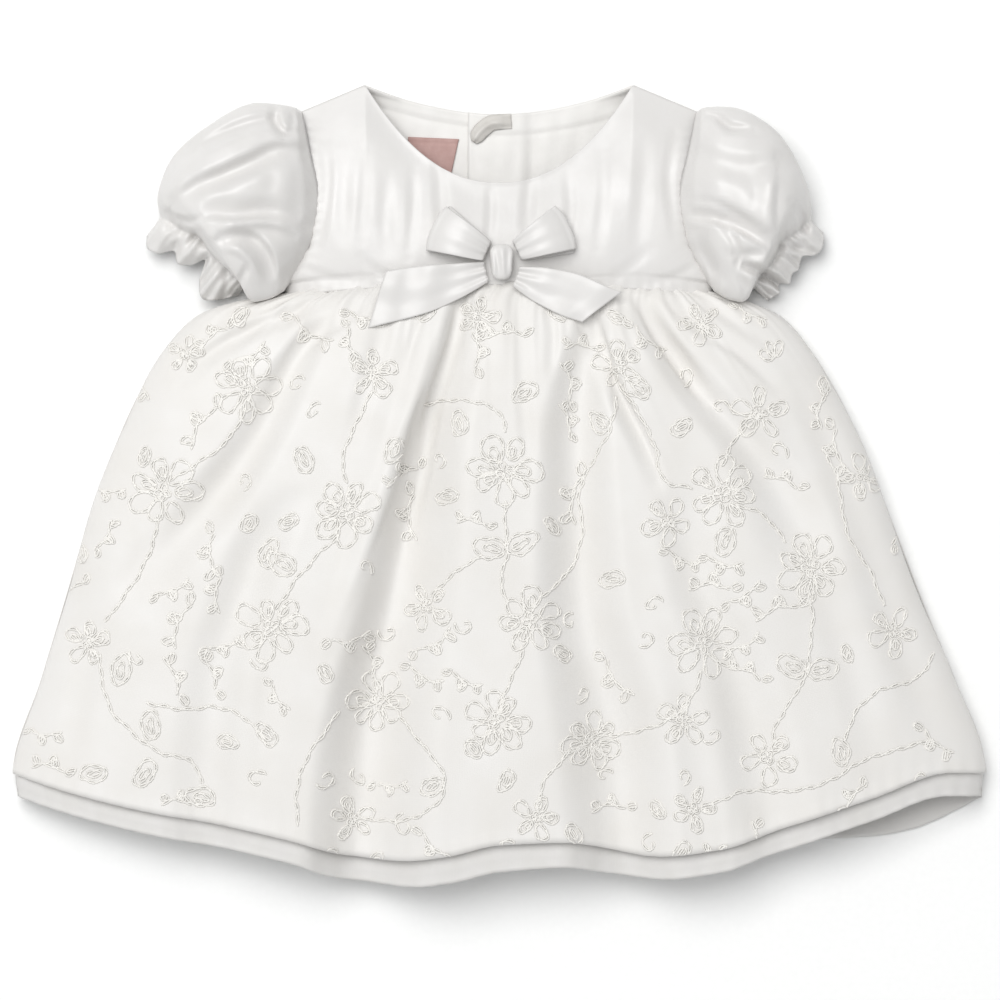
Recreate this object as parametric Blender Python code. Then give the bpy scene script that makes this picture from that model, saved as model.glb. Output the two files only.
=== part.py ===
"""Baby's lace party dress, laid on its back.

A satin bodice with puff sleeves, a gathered lace skirt over a longer satin lining, and a ribbon bow.
Sizes are in millimetres until a mesh is made, which is in metres. X runs across the dress, Y from
the hem to the neck and Z up from the surface that the dress lies on, with Z = 0 under its back.
"""

import math
from collections import namedtuple

import bmesh
import bpy
import numpy as np

MM = 0.001

# Cloth and seams
WALL = 1.1
THIN_WALL = 1.0
SEAM_GAP = 0.3
ARMHOLE_GAP = 0.6

# Waist seam, from side seam to side seam
WAIST_HALF = 103.2
WAIST_END_Y = 89.8
WAIST_RISE = 5.2
WAIST_HEIGHT = 24.0
SIDE_SEAM_Z = 7.0

# Bodice
SHOULDER_END = (96.0, 178.3)
NECK_POINT = (64.3, 191.6)
UNDERARM_Y = 96.0
FRONT_NECK_Y = 144.0
BACK_NECK_Y = 178.0
NECK_SHARE = 9 / 14
SHOULDER_Z = 9.0
BACK_SHOULDER_Z = 7.4
FRONT_NECK_Z = 19.0
ARMHOLE_LIFT = 12.0
BODICE_CROWN = 2.0
BODICE_FALL_TO_NECK = 4.0
BACK_SIDE_TURN_AT = 0.93
BACK_TOP_TURN_AT = 0.9
BACK_FLAT_SHARE = 0.45
BACK_NECK_RISE = 0.06
BODICE_COLUMNS = 28
BODICE_ROWS = (0.0, 0.07, 0.13, 0.22, 0.34, 0.47, 0.6, 0.73, 0.87, 1.0)
BODICE_BACK_ROWS = (0.0, 0.035, 0.07, 0.13, 0.22, 0.34, 0.47, 0.6, 0.73, 0.87, 0.94, 1.0)
BODICE_BACK_COLUMNS = 14

# Placket at the centre back: the right panel lies on the left one
PLACKET_UPPER_EDGE_X = -15.4
PLACKET_LOWER_EDGE_X = 9.0
PLACKET_STEP = 1.5
PLACKET_CLIMB = 5.0
PLACKET_CLIMB_AT_X = PLACKET_LOWER_EDGE_X + 6.5

# Skirt
SKIRT_ROUNDNESS = 2.4
SKIRT_LOFT = 38.0
GATHERS = 20
GATHER_DEPTH = 1.5
GATHER_RUN = 0.09
LOFT_RUN = 0.1
LINING_LOOSE_AT_WAIST = 1.8
LINING_LOOSE_BELOW = 0.8
LINING_DIP = 2.0
LINING_DIP_X = -15.0
LINING_DIP_WIDTH = 45.0
GATHER_COLUMNS = 4 * GATHERS
SKIRT_COLUMNS = 2 * GATHERS
GATHER_ROWS = (0.0, 0.012, 0.03, 0.06, 0.1)
SKIRT_ROWS = (0.14, 0.19, 0.25, 0.33, 0.43, 0.54, 0.65, 0.76, 0.88, 1.0)
LINING_ROWS = (0.0, 0.03, 0.06, 0.1, *SKIRT_ROWS, 1.1)
LINING_HEM_ROW = LINING_ROWS[-1]
BACK_COLUMNS = 24
BACK_ROWS = (0.0, 0.012, 0.03, 0.06, 0.1, 0.2, 0.36, 0.56, 0.78, 1.0)

# Sleeves
SLEEVE_POINTS = 44
SLEEVE_ROWS = (0.0, 0.08, 0.18, 0.3, 0.43, 0.56, 0.68, 0.78, 0.86, 0.93, 1.0)
SLEEVE_TOP_Z = 8.2
ARMHOLE_BLEND = 0.12
ELASTIC_AT = 0.86
ELASTIC_REACH = 0.09
CUFF_GATHERS = 11
CUFF_GATHER_HEIGHT = 1.2
FRILL_WAVES = 8
FRILL_RISE = 2.6
FRILL_SWAY = 1.6

# Bow
KNOT_CENTRE = (1.4, 107.7)
KNOT_SIZE = (12.5, 14.5, 8.5)
LOOP_TURN_RADIUS = 2.6
LOOP_HALF_WIDTHS = (4.8, 11.5)
LOOP_PUFF = 4.2
LOOP_CROWN = 1.2
TAIL_LIFT = 1.2
BOW_CLEARANCE = 0.35

Side = namedtuple("Side", "y left right")
SKIRT_SIDES = (
    Side(-156.0, -231.5, 232.8),
    Side(-138.5, -233.5, 233.5),
    Side(-93.0, -219.8, 218.4),
    Side(-54.7, -208.3, 203.0),
    Side(-16.3, -196.8, 188.2),
    Side(22.0, -182.9, 173.3),
    Side(50.9, -169.0, 158.4),
    Side(70.0, -156.0, 145.5),
    Side(79.7, -146.0, 136.3),
    Side(84.0, -137.0, 128.5),
    Side(87.4, -122.0, 118.0),
    Side(89.5, -WAIST_HALF, WAIST_HALF),
)

Hem = namedtuple("Hem", "x y")
FRONT_HEM = (
    Hem(-233.5, -138.5),
    Hem(-203.0, -147.4),
    Hem(-169.0, -155.5),
    Hem(-128.0, -162.7),
    Hem(-96.5, -169.9),
    Hem(-72.5, -177.0),
    Hem(-48.5, -179.2),
    Hem(-24.5, -176.6),
    Hem(0.0, -171.2),
    Hem(30.0, -170.0),
    Hem(74.0, -176.8),
    Hem(105.0, -173.5),
    Hem(135.0, -163.7),
    Hem(178.0, -149.4),
    Hem(215.0, -137.8),
    Hem(233.5, -138.5),
)
BACK_LINING_HEM = (
    Hem(-233.5, -149.8),
    Hem(-200.0, -154.0),
    Hem(-160.0, -160.0),
    Hem(-100.0, -169.0),
    Hem(0.0, -173.0),
    Hem(100.0, -173.0),
    Hem(150.0, -171.0),
    Hem(180.0, -169.4),
    Hem(200.0, -165.6),
    Hem(221.0, -156.5),
    Hem(233.5, -149.8),
)
LINING_SHOWS = 11.3

Fold = namedtuple("Fold", "y x half_width depth")
SKIRT_FOLDS = {
    "left deep valley": (
        Fold(-185.0, -73.0, 34.0, 17.0),
        Fold(-122.0, -70.0, 32.0, 19.0),
        Fold(-54.7, -57.0, 28.0, 19.0),
        Fold(22.0, -42.0, 20.0, 12.5),
        Fold(51.0, -29.0, 15.5, 8.0),
        Fold(78.0, -22.6, 11.0, 3.5),
        Fold(93.0, -20.0, 10.0, 0.0),
    ),
    "right deep valley": (
        Fold(-185.0, 60.0, 30.0, 12.0),
        Fold(-122.0, 54.0, 30.0, 14.0),
        Fold(-54.7, 39.0, 24.0, 14.0),
        Fold(22.0, 36.5, 19.0, 10.5),
        Fold(51.0, 39.0, 15.0, 7.5),
        Fold(76.0, 44.6, 11.0, 3.5),
        Fold(93.0, 47.0, 10.0, 0.0),
    ),
    "left slanted fold": (
        Fold(-54.7, -172.0, 24.0, 0.0),
        Fold(-16.3, -143.5, 22.0, 7.0),
        Fold(22.0, -114.7, 17.0, 8.0),
        Fold(51.0, -100.3, 14.0, 6.5),
        Fold(75.0, -86.0, 11.0, 3.0),
        Fold(90.0, -80.0, 10.0, 0.0),
    ),
    "left low fold": (
        Fold(-175.0, -140.0, 22.0, 4.0),
        Fold(-93.0, -133.9, 20.0, 5.0),
        Fold(-35.0, -115.0, 18.0, 5.0),
        Fold(0.0, -98.0, 16.0, 0.0),
    ),
    "right slanted fold": (
        Fold(-45.0, 147.0, 26.0, 0.0),
        Fold(-20.0, 140.0, 24.0, 5.0),
        Fold(13.4, 121.9, 19.0, 7.0),
        Fold(50.0, 91.0, 15.0, 6.5),
        Fold(80.0, 69.6, 11.0, 2.5),
        Fold(92.0, 63.0, 10.0, 0.0),
    ),
    "right low fold": (
        Fold(-175.0, 134.0, 24.0, 5.0),
        Fold(-93.0, 113.0, 22.0, 6.0),
        Fold(-40.0, 93.0, 18.0, 5.0),
        Fold(0.0, 86.0, 16.0, 0.0),
    ),
    "right side fold": (
        Fold(-130.0, 212.0, 15.0, 0.0),
        Fold(-70.0, 190.0, 15.0, 4.0),
        Fold(10.0, 162.0, 14.0, 4.0),
        Fold(55.0, 142.0, 12.0, 0.0),
    ),
}
BODICE_FOLDS = {
    "far left": (
        Fold(112.0, -74.0, 5.0, 0.0),
        Fold(135.0, -74.0, 6.0, 1.6),
        Fold(160.0, -73.0, 5.0, 0.0),
    ),
    "left": (
        Fold(106.0, -53.0, 5.0, 0.0),
        Fold(128.0, -54.0, 6.0, 1.5),
        Fold(152.0, -53.0, 5.0, 0.0),
    ),
    "left of centre": (
        Fold(118.0, -27.0, 5.0, 0.0),
        Fold(138.0, -28.0, 5.5, 1.8),
        Fold(150.0, -29.0, 5.0, 1.0),
    ),
    "right of centre": (
        Fold(116.0, 13.0, 5.0, 0.0),
        Fold(134.0, 14.0, 5.5, 1.8),
        Fold(148.0, 15.0, 5.0, 1.0),
    ),
    "far right": (
        Fold(108.0, 66.0, 6.0, 0.0),
        Fold(136.0, 68.0, 7.0, 1.6),
        Fold(170.0, 70.0, 6.0, 0.0),
    ),
}

# Rings of a sleeve from the armhole to the frill. The upper end is at the top edge, the lower end
# under the arm; inset pulls the ring's middle towards the bodice and top is its height.
Ring = namedtuple("Ring", "v upper_x upper_y lower_x lower_y inset top")
SLEEVES = {
    "left": (
        Ring(0.0, 96.0, 178.3, 103.5, 96.0, 0.0, 20.0),
        Ring(0.2, 115.7, 180.5, 111.0, 92.4, 7.0, 36.0),
        Ring(0.42, 141.0, 169.0, 116.0, 91.2, 1.0, 43.0),
        Ring(0.62, 158.6, 151.0, 119.0, 91.2, 0.0, 40.0),
        Ring(0.76, 163.6, 136.0, 121.0, 92.0, 4.0, 33.0),
        Ring(0.86, 161.0, 127.6, 122.5, 94.4, 9.0, 24.0),
        Ring(1.0, 169.8, 117.0, 132.0, 89.6, 10.0, 29.0),
    ),
    "right": (
        Ring(0.0, 96.0, 178.3, 103.5, 96.0, 0.0, 20.0),
        Ring(0.2, 112.0, 177.5, 110.5, 92.4, 7.0, 35.0),
        Ring(0.42, 131.0, 168.0, 115.0, 91.2, 3.0, 42.0),
        Ring(0.62, 143.8, 150.0, 118.5, 91.2, 1.0, 39.0),
        Ring(0.76, 149.0, 135.5, 120.5, 92.0, 3.0, 32.0),
        Ring(0.86, 149.0, 126.0, 122.5, 94.0, 7.0, 24.0),
        Ring(1.0, 158.0, 115.4, 130.0, 89.0, 8.0, 28.0),
    ),
}
SleeveFold = namedtuple("SleeveFold", "v_start v_end angle_start angle_end half_angle depth")
SLEEVE_FOLDS = (
    SleeveFold(0.08, 0.7, 62.0, 42.0, 13.0, 3.2),
    SleeveFold(0.2, 0.86, 112.0, 78.0, 12.0, 3.6),
    SleeveFold(0.3, 0.86, 148.0, 118.0, 11.0, 2.4),
)

# Bow pieces: a centre line from the knot outwards, in X and Y, and the ribbon's half width there
LOOPS = {
    "left": {"start": (-5.6, 110.6), "end": (-31.8, 122.4)},
    "right": {"start": (8.4, 111.0), "end": (33.6, 123.0)},
}
Ribbon = namedtuple("Ribbon", "x y half_width")
TAILS = {
    "left": (
        Ribbon(-6.0, 101.0, 5.0),
        Ribbon(-20.0, 96.6, 8.4),
        Ribbon(-38.0, 92.0, 11.4),
        Ribbon(-58.0, 88.0, 12.6),
    ),
    "right": (
        Ribbon(8.2, 99.6, 5.0),
        Ribbon(20.0, 95.4, 9.0),
        Ribbon(35.0, 90.6, 11.6),
        Ribbon(50.0, 86.6, 12.2),
    ),
}
TAIL_SKEW = {"left": 0.1, "right": -0.14}

# Label and button loop at the back neck
LABEL_CENTRE = (-32.0, 156.4)
LABEL_SIZE = (24.5, 20.5, 0.6)
LABEL_TURN = math.radians(-2.5)
LoopStation = namedtuple("LoopStation", "v x y half_width")
BUTTON_LOOP = (
    LoopStation(0.0, 4.6, 174.5, 3.5),
    LoopStation(0.35, -2.4, 174.0, 3.5),
    LoopStation(0.68, -8.0, 170.6, 3.3),
    LoopStation(1.0, -11.8, 165.2, 2.8),
)
BUTTON_LOOP_EDGE = 1.0
BUTTON_LOOP_CROWN = 1.1
NECK_TURN_RISE = 0.5

SATIN = ("satin", (0.93, 0.93, 0.91), 0.38)
LACE = ("embroidered organza", (0.94, 0.93, 0.90), 0.6)
LINING_SATIN = ("lining satin", (0.92, 0.92, 0.90), 0.45)
LABEL_CLOTH = ("label cloth", (0.62, 0.42, 0.42), 0.7)


def clear_scene():
    """Remove what the file opens with."""
    for old in list(bpy.data.objects):
        bpy.data.objects.remove(old, do_unlink=True)


def make_material(finish):
    """A plain Principled material from a name, a colour and a roughness, made once."""
    name, colour, roughness = finish
    if name in bpy.data.materials:
        return bpy.data.materials[name]
    material = bpy.data.materials.new(name)
    material.use_nodes = True
    shader = material.node_tree.nodes["Principled BSDF"]
    shader.inputs["Base Color"].default_value = (*colour, 1.0)
    shader.inputs["Roughness"].default_value = roughness
    return material


def make_object(name, points, faces, finish):
    """Make a closed mesh object from points in millimetres, with its faces pointing out."""
    mesh = bpy.data.meshes.new(name)
    mesh.from_pydata([tuple(p) for p in np.asarray(points) * MM], [], faces)
    form = bmesh.new()
    form.from_mesh(mesh)
    bmesh.ops.recalc_face_normals(form, faces=form.faces[:])
    form.to_mesh(mesh)
    form.free()
    mesh.shade_smooth()
    mesh.set_sharp_from_angle(angle=math.radians(50.0))
    made = bpy.data.objects.new(name, mesh)
    made.data.materials.append(make_material(finish))
    bpy.context.scene.collection.objects.link(made)
    return made


def mix(a, b, share):
    return a + (b - a) * share


def through(rows, key, column, at):
    """Read a table's column at any value of its key column, on a curve with no overshoot."""
    keys = np.array([getattr(row, key) for row in rows], dtype=float)
    values = np.array([getattr(row, column) for row in rows], dtype=float)
    steps = np.diff(keys)
    rises = np.diff(values) / steps
    slopes = np.zeros_like(values)
    same_way = rises[:-1] * rises[1:] > 0
    total = np.where(same_way, rises[:-1] + rises[1:], 1.0)
    slopes[1:-1] = np.where(same_way, 2 * rises[:-1] * rises[1:] / total, 0.0)
    slopes[0], slopes[-1] = rises[0], rises[-1]
    at = np.clip(at, keys[0], keys[-1])
    i = np.clip(np.searchsorted(keys, at, side="right") - 1, 0, len(steps) - 1)
    h = steps[i]
    f = (at - keys[i]) / h
    return (
        (1 + 2 * f) * (1 - f) ** 2 * values[i]
        + f * (1 - f) ** 2 * h * slopes[i]
        + f * f * (3 - 2 * f) * values[i + 1]
        + f * f * (f - 1) * h * slopes[i + 1]
    )


def spread(t):
    """Set columns closer together towards both side seams."""
    return 0.55 * t + 0.45 * np.sin(t * math.pi / 2)


def dome(s, roundness=SKIRT_ROUNDNESS):
    """Height share of a lofted panel's section, 1 at its middle and 0 at its side seams."""
    return np.maximum(0.0, 1 - np.abs(s) ** roundness) ** (1 / roundness)


def trough(offset, half_width):
    """Depth share of a fold, 1 on its line and 0 from its half width on."""
    q = np.clip(np.abs(offset) / half_width, 0, 1)
    return (1 + np.cos(math.pi * q)) / 2


def fold_depth(folds, x, y):
    """Depth of all the folds in a table at a place."""
    depth = 0.0
    for rows in folds.values():
        centre = through(rows, "y", "x", y)
        half = through(rows, "y", "half_width", y)
        depth = depth + through(rows, "y", "depth", y) * trough(x - centre, half)
    return depth


def waist_y(s):
    return WAIST_END_Y + WAIST_RISE * (1 - s * s)


def skirt_outline(y_side):
    """Centre and half width of the skirt where its side seams are at this height on the cloth."""
    left = through(SKIRT_SIDES, "y", "left", y_side)
    right = through(SKIRT_SIDES, "y", "right", y_side)
    return (left + right) / 2, (right - left) / 2


def skirt_place(u, v, hem):
    """Plan place of a point of the skirt: u runs across the cloth, v from the waist to the hem."""
    hem_half = FRONT_HEM[-1].x
    centre, half = skirt_outline(mix(WAIST_END_Y - SEAM_GAP, FRONT_HEM[-1].y, v))
    fan = 1 + 5 * np.exp(-v / 0.15)
    x = WAIST_HALF * u + (half - WAIST_HALF) * np.sign(u) * np.abs(u) ** fan
    s = np.clip(x / half, -1, 1)
    y = mix(waist_y(s) - SEAM_GAP, through(hem, "x", "y", s * hem_half), v)
    return centre + x, y, s


def skirt_form(t, v):
    """Outer surface of the lace front without its waist gathers."""
    x, y, s = skirt_place(spread(t), v, FRONT_HEM)
    loft = WAIST_HEIGHT + (SKIRT_LOFT - WAIST_HEIGHT) * (1 - np.exp(-v / LOFT_RUN))
    z = SIDE_SEAM_Z + (loft - SIDE_SEAM_Z) * dome(s)
    z = z - fold_depth(SKIRT_FOLDS, x, y) * (1 - s**8)
    return np.stack([x, y, z], axis=-1)


def lining_drop(x):
    """How far the lining's hem shows below the lace at the front."""
    return LINING_SHOWS + LINING_DIP * np.exp(-(((x - LINING_DIP_X) / LINING_DIP_WIDTH) ** 2))


def lining_form(t, v):
    """The lace front's form, carried on from its hem at v = 1 to the longer lining's last row."""
    x, y, s = skirt_place(spread(t), np.minimum(v, 1.0), FRONT_HEM)
    length = waist_y(s) - through(FRONT_HEM, "x", "y", s * FRONT_HEM[-1].x)
    beyond = np.maximum(v - 1, 0) / (LINING_HEM_ROW - 1)
    return skirt_form(t, np.minimum(v, 1.0) + beyond * lining_drop(x) / length)


def normal(form, t, v, step=1e-4):
    """Unit normal of a form, from its own small steps, kept inside its edges."""
    t0, t1 = np.clip(t - step, -1, 1), np.clip(t + step, -1, 1)
    v0, v1 = np.maximum(v - step, 0), np.minimum(v + step, np.max(v))
    across = np.cross(form(t1, v) - form(t0, v), form(t, v1) - form(t, v0))
    return across / np.maximum(np.linalg.norm(across, axis=-1, keepdims=True), 1e-12)


def moved(form, distance):
    """A form moved along its normal; a negative distance is the other way."""

    def surface(t, v):
        return form(t, v) + distance * normal(form, t, v)

    return surface


def grid(rows):
    """Parameters and faces of a sheet. Each row is its v and its number of columns, and a row may
    have half the columns of the row before it."""
    t_all, v_all, starts, faces = [], [], [], []
    for v, columns in rows:
        starts.append(len(t_all))
        t_all += list(np.linspace(-1, 1, columns + 1))
        v_all += [v] * (columns + 1)
    for i in range(len(rows) - 1):
        a, b = starts[i], starts[i + 1]
        if rows[i][1] == rows[i + 1][1]:
            for j in range(rows[i][1]):
                faces.append((a + j, a + j + 1, b + j + 1, b + j))
            continue
        for j in range(rows[i + 1][1]):
            k = a + 2 * j
            faces += [(k, k + 1, b + j), (k + 1, b + j + 1, b + j), (k + 1, k + 2, b + j + 1)]
    return np.array(t_all), np.array(v_all), faces


def split(faces):
    """Quads cut on the same diagonal everywhere, so that sheets that lie on each other stay clear."""
    halves = []
    for face in faces:
        halves.append(face[:3])
        if len(face) == 4:
            halves.append((face[0], face[2], face[3]))
    return halves


def close_wall(outer, inner, faces):
    """Points and faces of the closed wall between two copies of one sheet."""
    count = len(outer)
    faces = split(faces)
    uses = {}
    for face in faces:
        for a, b in zip(face, face[1:] + face[:1]):
            uses[(a, b)] = True
    rim = [(a, b) for a, b in uses if (b, a) not in uses]
    shell = list(faces)
    shell += [tuple(reversed([i + count for i in face])) for face in faces]
    shell += split([(b, a, a + count, b + count) for a, b in rim])
    return np.concatenate([outer, inner]), shell


def sheet_wall(name, outer, inner, rows, finish):
    """A panel of cloth as a closed wall between two forms."""
    t, v, faces = grid(rows)
    points, shell = close_wall(outer(t, v), inner(t, v), faces)
    return make_object(name, points, shell, finish)


def even_rows(rows, columns):
    return [(v, columns) for v in rows]


def gathered_skirt(t, v):
    """Outer surface of the lace front with its uneven gathers, which fade below the waist."""
    size = 0.68 + 0.32 * np.sin(9 * t + 1) * np.sin(23 * t)
    wave = (1 - np.cos(math.pi * GATHERS * (t + 1))) / 2
    fade = np.exp(-v / GATHER_RUN) * np.clip((SKIRT_ROWS[0] - v) / 0.04, 0, 1)
    height = GATHER_DEPTH * size * wave * fade
    return skirt_form(t, v) - normal(skirt_form, t, v) * height[..., None]


def make_skirt_front():
    rows = even_rows(GATHER_ROWS, GATHER_COLUMNS) + even_rows(SKIRT_ROWS, SKIRT_COLUMNS)
    sheet_wall("skirt_front", gathered_skirt, moved(skirt_form, THIN_WALL), rows, LACE)


def lining_depth(v):
    """Distance from the lace's outer surface to the lining: sewn close at the waist, loose below."""
    at_waist = LINING_LOOSE_AT_WAIST * np.clip(v / 0.05, 0, 1)
    below = LINING_LOOSE_BELOW * np.clip((v - 0.1) / 0.5, 0, 1)
    return THIN_WALL + SEAM_GAP + at_waist + below


def make_lining_front():
    def outer(t, v):
        return lining_form(t, v) + normal(lining_form, t, v) * lining_depth(v)[..., None]

    def inner(t, v):
        return lining_form(t, v) + normal(lining_form, t, v) * (lining_depth(v) + THIN_WALL)[..., None]

    sheet_wall("lining_front", outer, inner, even_rows(LINING_ROWS, SKIRT_COLUMNS), LINING_SATIN)


def back_form(inset):
    """A skirt back: flat on the surface, its edges rising in a quarter round to the side seams.
    It lies inset above the surface. The lace ends at v = 1 and the lining one row further on."""
    rise = SIDE_SEAM_Z - SEAM_GAP

    def surface(t, v):
        beyond = np.maximum(v - 1, 0) / (LINING_HEM_ROW - 1)
        y_side = mix(WAIST_END_Y - SEAM_GAP, FRONT_HEM[-1].y, np.minimum(v, 1.0))
        centre, half = skirt_outline(y_side - beyond * LINING_SHOWS)
        flat = half - rise
        along = spread(t) * (flat + rise * math.pi / 2)
        turn = np.clip((np.abs(along) - flat) / rise, 0, math.pi / 2)
        x = np.sign(t) * (np.minimum(np.abs(along), flat) + (rise - inset) * np.sin(turn))
        z = rise - (rise - inset) * np.cos(turn)
        s = np.clip(x / half, -1, 1)
        hem_y = through(BACK_LINING_HEM, "x", "y", s * FRONT_HEM[-1].x) + LINING_SHOWS
        y = mix(waist_y(s) - SEAM_GAP, hem_y, np.minimum(v, 1.0)) - beyond * LINING_SHOWS
        return np.stack([centre + x, y, z], axis=-1)

    return surface


def make_skirt_backs():
    lace_rows = even_rows(BACK_ROWS, BACK_COLUMNS)
    sheet_wall("skirt_back", back_form(0.0), back_form(THIN_WALL), lace_rows, LACE)
    rows = even_rows((*BACK_ROWS, LINING_HEM_ROW), BACK_COLUMNS)
    under = THIN_WALL + SEAM_GAP
    sheet_wall("lining_back", back_form(under), back_form(under + WALL), rows, LINING_SATIN)


ArmholePoint = namedtuple("ArmholePoint", "share x")
ARMHOLE = (
    ArmholePoint(0.0, SHOULDER_END[0]),
    ArmholePoint(0.25, 91.6),
    ArmholePoint(0.5, 87.3),
    ArmholePoint(0.74, 90.0),
    ArmholePoint(0.9, 96.6),
    ArmholePoint(1.0, 103.5),
)


def armhole_share(y):
    """How far down the armhole a height is, 0 at the shoulder and 1 under the arm."""
    return np.clip((SHOULDER_END[1] - y) / (SHOULDER_END[1] - UNDERARM_Y), 0, 1)


def ring_share(share):
    """Roundness of the armhole ring, 0 at both ends and 1 half way."""
    return np.sqrt(np.maximum(0.0, 4 * share * (1 - share)))


def armhole_front_z(share):
    return mix(SHOULDER_Z, SIDE_SEAM_Z, share) + ARMHOLE_LIFT * ring_share(share) ** 0.8


def armhole_back_z(share):
    low = mix(BACK_SHOULDER_Z, SIDE_SEAM_Z - SEAM_GAP, share)
    return low * (1 - ring_share(share) ** 0.6)


def neck_y(x, low, power):
    share = np.clip(np.abs(x) / NECK_POINT[0], 0, 1)
    return mix(low, NECK_POINT[1], share**power)


def bodice_place(u, w, low, power):
    """Plan place on the bodice: u runs across and w from the waist seam to the neck and shoulders."""
    beyond = np.clip((np.abs(u) - NECK_SHARE) / (1 - NECK_SHARE), 0, 1)
    neck_x = NECK_POINT[0] * np.clip(np.abs(u) / NECK_SHARE, 0, 1)
    top_x = mix(neck_x, SHOULDER_END[0], beyond)
    top_y = mix(neck_y(neck_x, low, power), SHOULDER_END[1], beyond)
    low_x = WAIST_HALF * np.abs(u)
    y = mix(waist_y(u), top_y, w)
    edge_y = mix(WAIST_END_Y, SHOULDER_END[1], w)
    edge_x = np.where(
        edge_y < UNDERARM_Y,
        mix(WAIST_HALF, ARMHOLE[-1].x, (edge_y - WAIST_END_Y) / (UNDERARM_Y - WAIST_END_Y)),
        through(ARMHOLE, "share", "x", armhole_share(edge_y)),
    )
    pull = edge_x - mix(WAIST_HALF, SHOULDER_END[0], w)
    x = mix(low_x, top_x, w) + pull * np.abs(u) ** 4
    return np.sign(u) * x, y, edge_y


def bodice_form(u, w):
    """Outer surface of the bodice front."""
    x, y, edge_y = bodice_place(u, w, FRONT_NECK_Y, 2.2)
    edge = np.where(edge_y < UNDERARM_Y, SIDE_SEAM_Z, armhole_front_z(armhole_share(edge_y)))
    middle = WAIST_HEIGHT + BODICE_CROWN * np.sin(math.pi * w) - BODICE_FALL_TO_NECK * w * w
    section = edge + (middle - edge) * dome(u)
    neck = mix(FRONT_NECK_Z, SHOULDER_Z, np.clip(np.abs(u) / NECK_SHARE, 0, 1) ** 2)
    z = mix(section, neck, w**3) - fold_depth(BODICE_FOLDS, x, y)
    return np.stack([x, y, z], axis=-1)


def quarter_round(share):
    """Rise of an edge that turns up in a quarter circle, from 0 to 1."""
    return 1 - np.sqrt(np.maximum(0.0, 1 - np.clip(share, 0, 1) ** 2))


def bodice_back_form(u, w):
    """Outer surface of the whole back, flat but for its side, armhole and shoulder edges."""
    x, y, edge_y = bodice_place(u, w, BACK_NECK_Y, 1.8)
    side = np.where(edge_y < UNDERARM_Y, SIDE_SEAM_Z - SEAM_GAP, armhole_back_z(armhole_share(edge_y)))
    past_side = (np.abs(u) - BACK_SIDE_TURN_AT) / (1 - BACK_SIDE_TURN_AT)
    past_top = (w - BACK_TOP_TURN_AT) / (1 - BACK_TOP_TURN_AT)
    at_side = side / BACK_SHOULDER_Z * quarter_round(past_side)
    shoulder = np.clip((np.abs(u) - BACK_FLAT_SHARE) / (NECK_SHARE - BACK_FLAT_SHARE), BACK_NECK_RISE, 1)
    at_top = shoulder * quarter_round(past_top)
    z = BACK_SHOULDER_Z * (1 - (1 - at_side) * (1 - at_top))
    return np.stack([x, y, z], axis=-1)


def make_bodice_front():
    rows = even_rows(BODICE_ROWS, BODICE_COLUMNS)
    sheet_wall("bodice_front", bodice_form, moved(bodice_form, -WALL), rows, SATIN)


def back_panel(u_from, u_to, step_at):
    """One side of the back, from its placket edge to its side seam. The panel that laps over the
    other climbs onto it by the placket's step, past step_at in X."""

    def surface(t, v):
        u = mix(u_from, u_to, (t + 1) / 2)
        points = bodice_back_form(u, v)
        if step_at is not None:
            climb = np.clip((step_at - points[..., 0]) / PLACKET_CLIMB, 0, 1)
            points[..., 2] += PLACKET_STEP * climb * climb * (3 - 2 * climb)
        return points

    return surface


def make_bodice_backs():
    left_u = PLACKET_LOWER_EDGE_X / WAIST_HALF
    right_u = PLACKET_UPPER_EDGE_X / WAIST_HALF
    left = back_panel(-1.0, left_u, None)
    right = back_panel(right_u, 1.0, PLACKET_CLIMB_AT_X)
    rows = even_rows(BODICE_BACK_ROWS, BODICE_BACK_COLUMNS)
    sheet_wall("bodice_back_left", left, moved(left, WALL), rows, SATIN)
    sheet_wall("bodice_back_right", right, moved(right, WALL), rows, SATIN)


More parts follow.
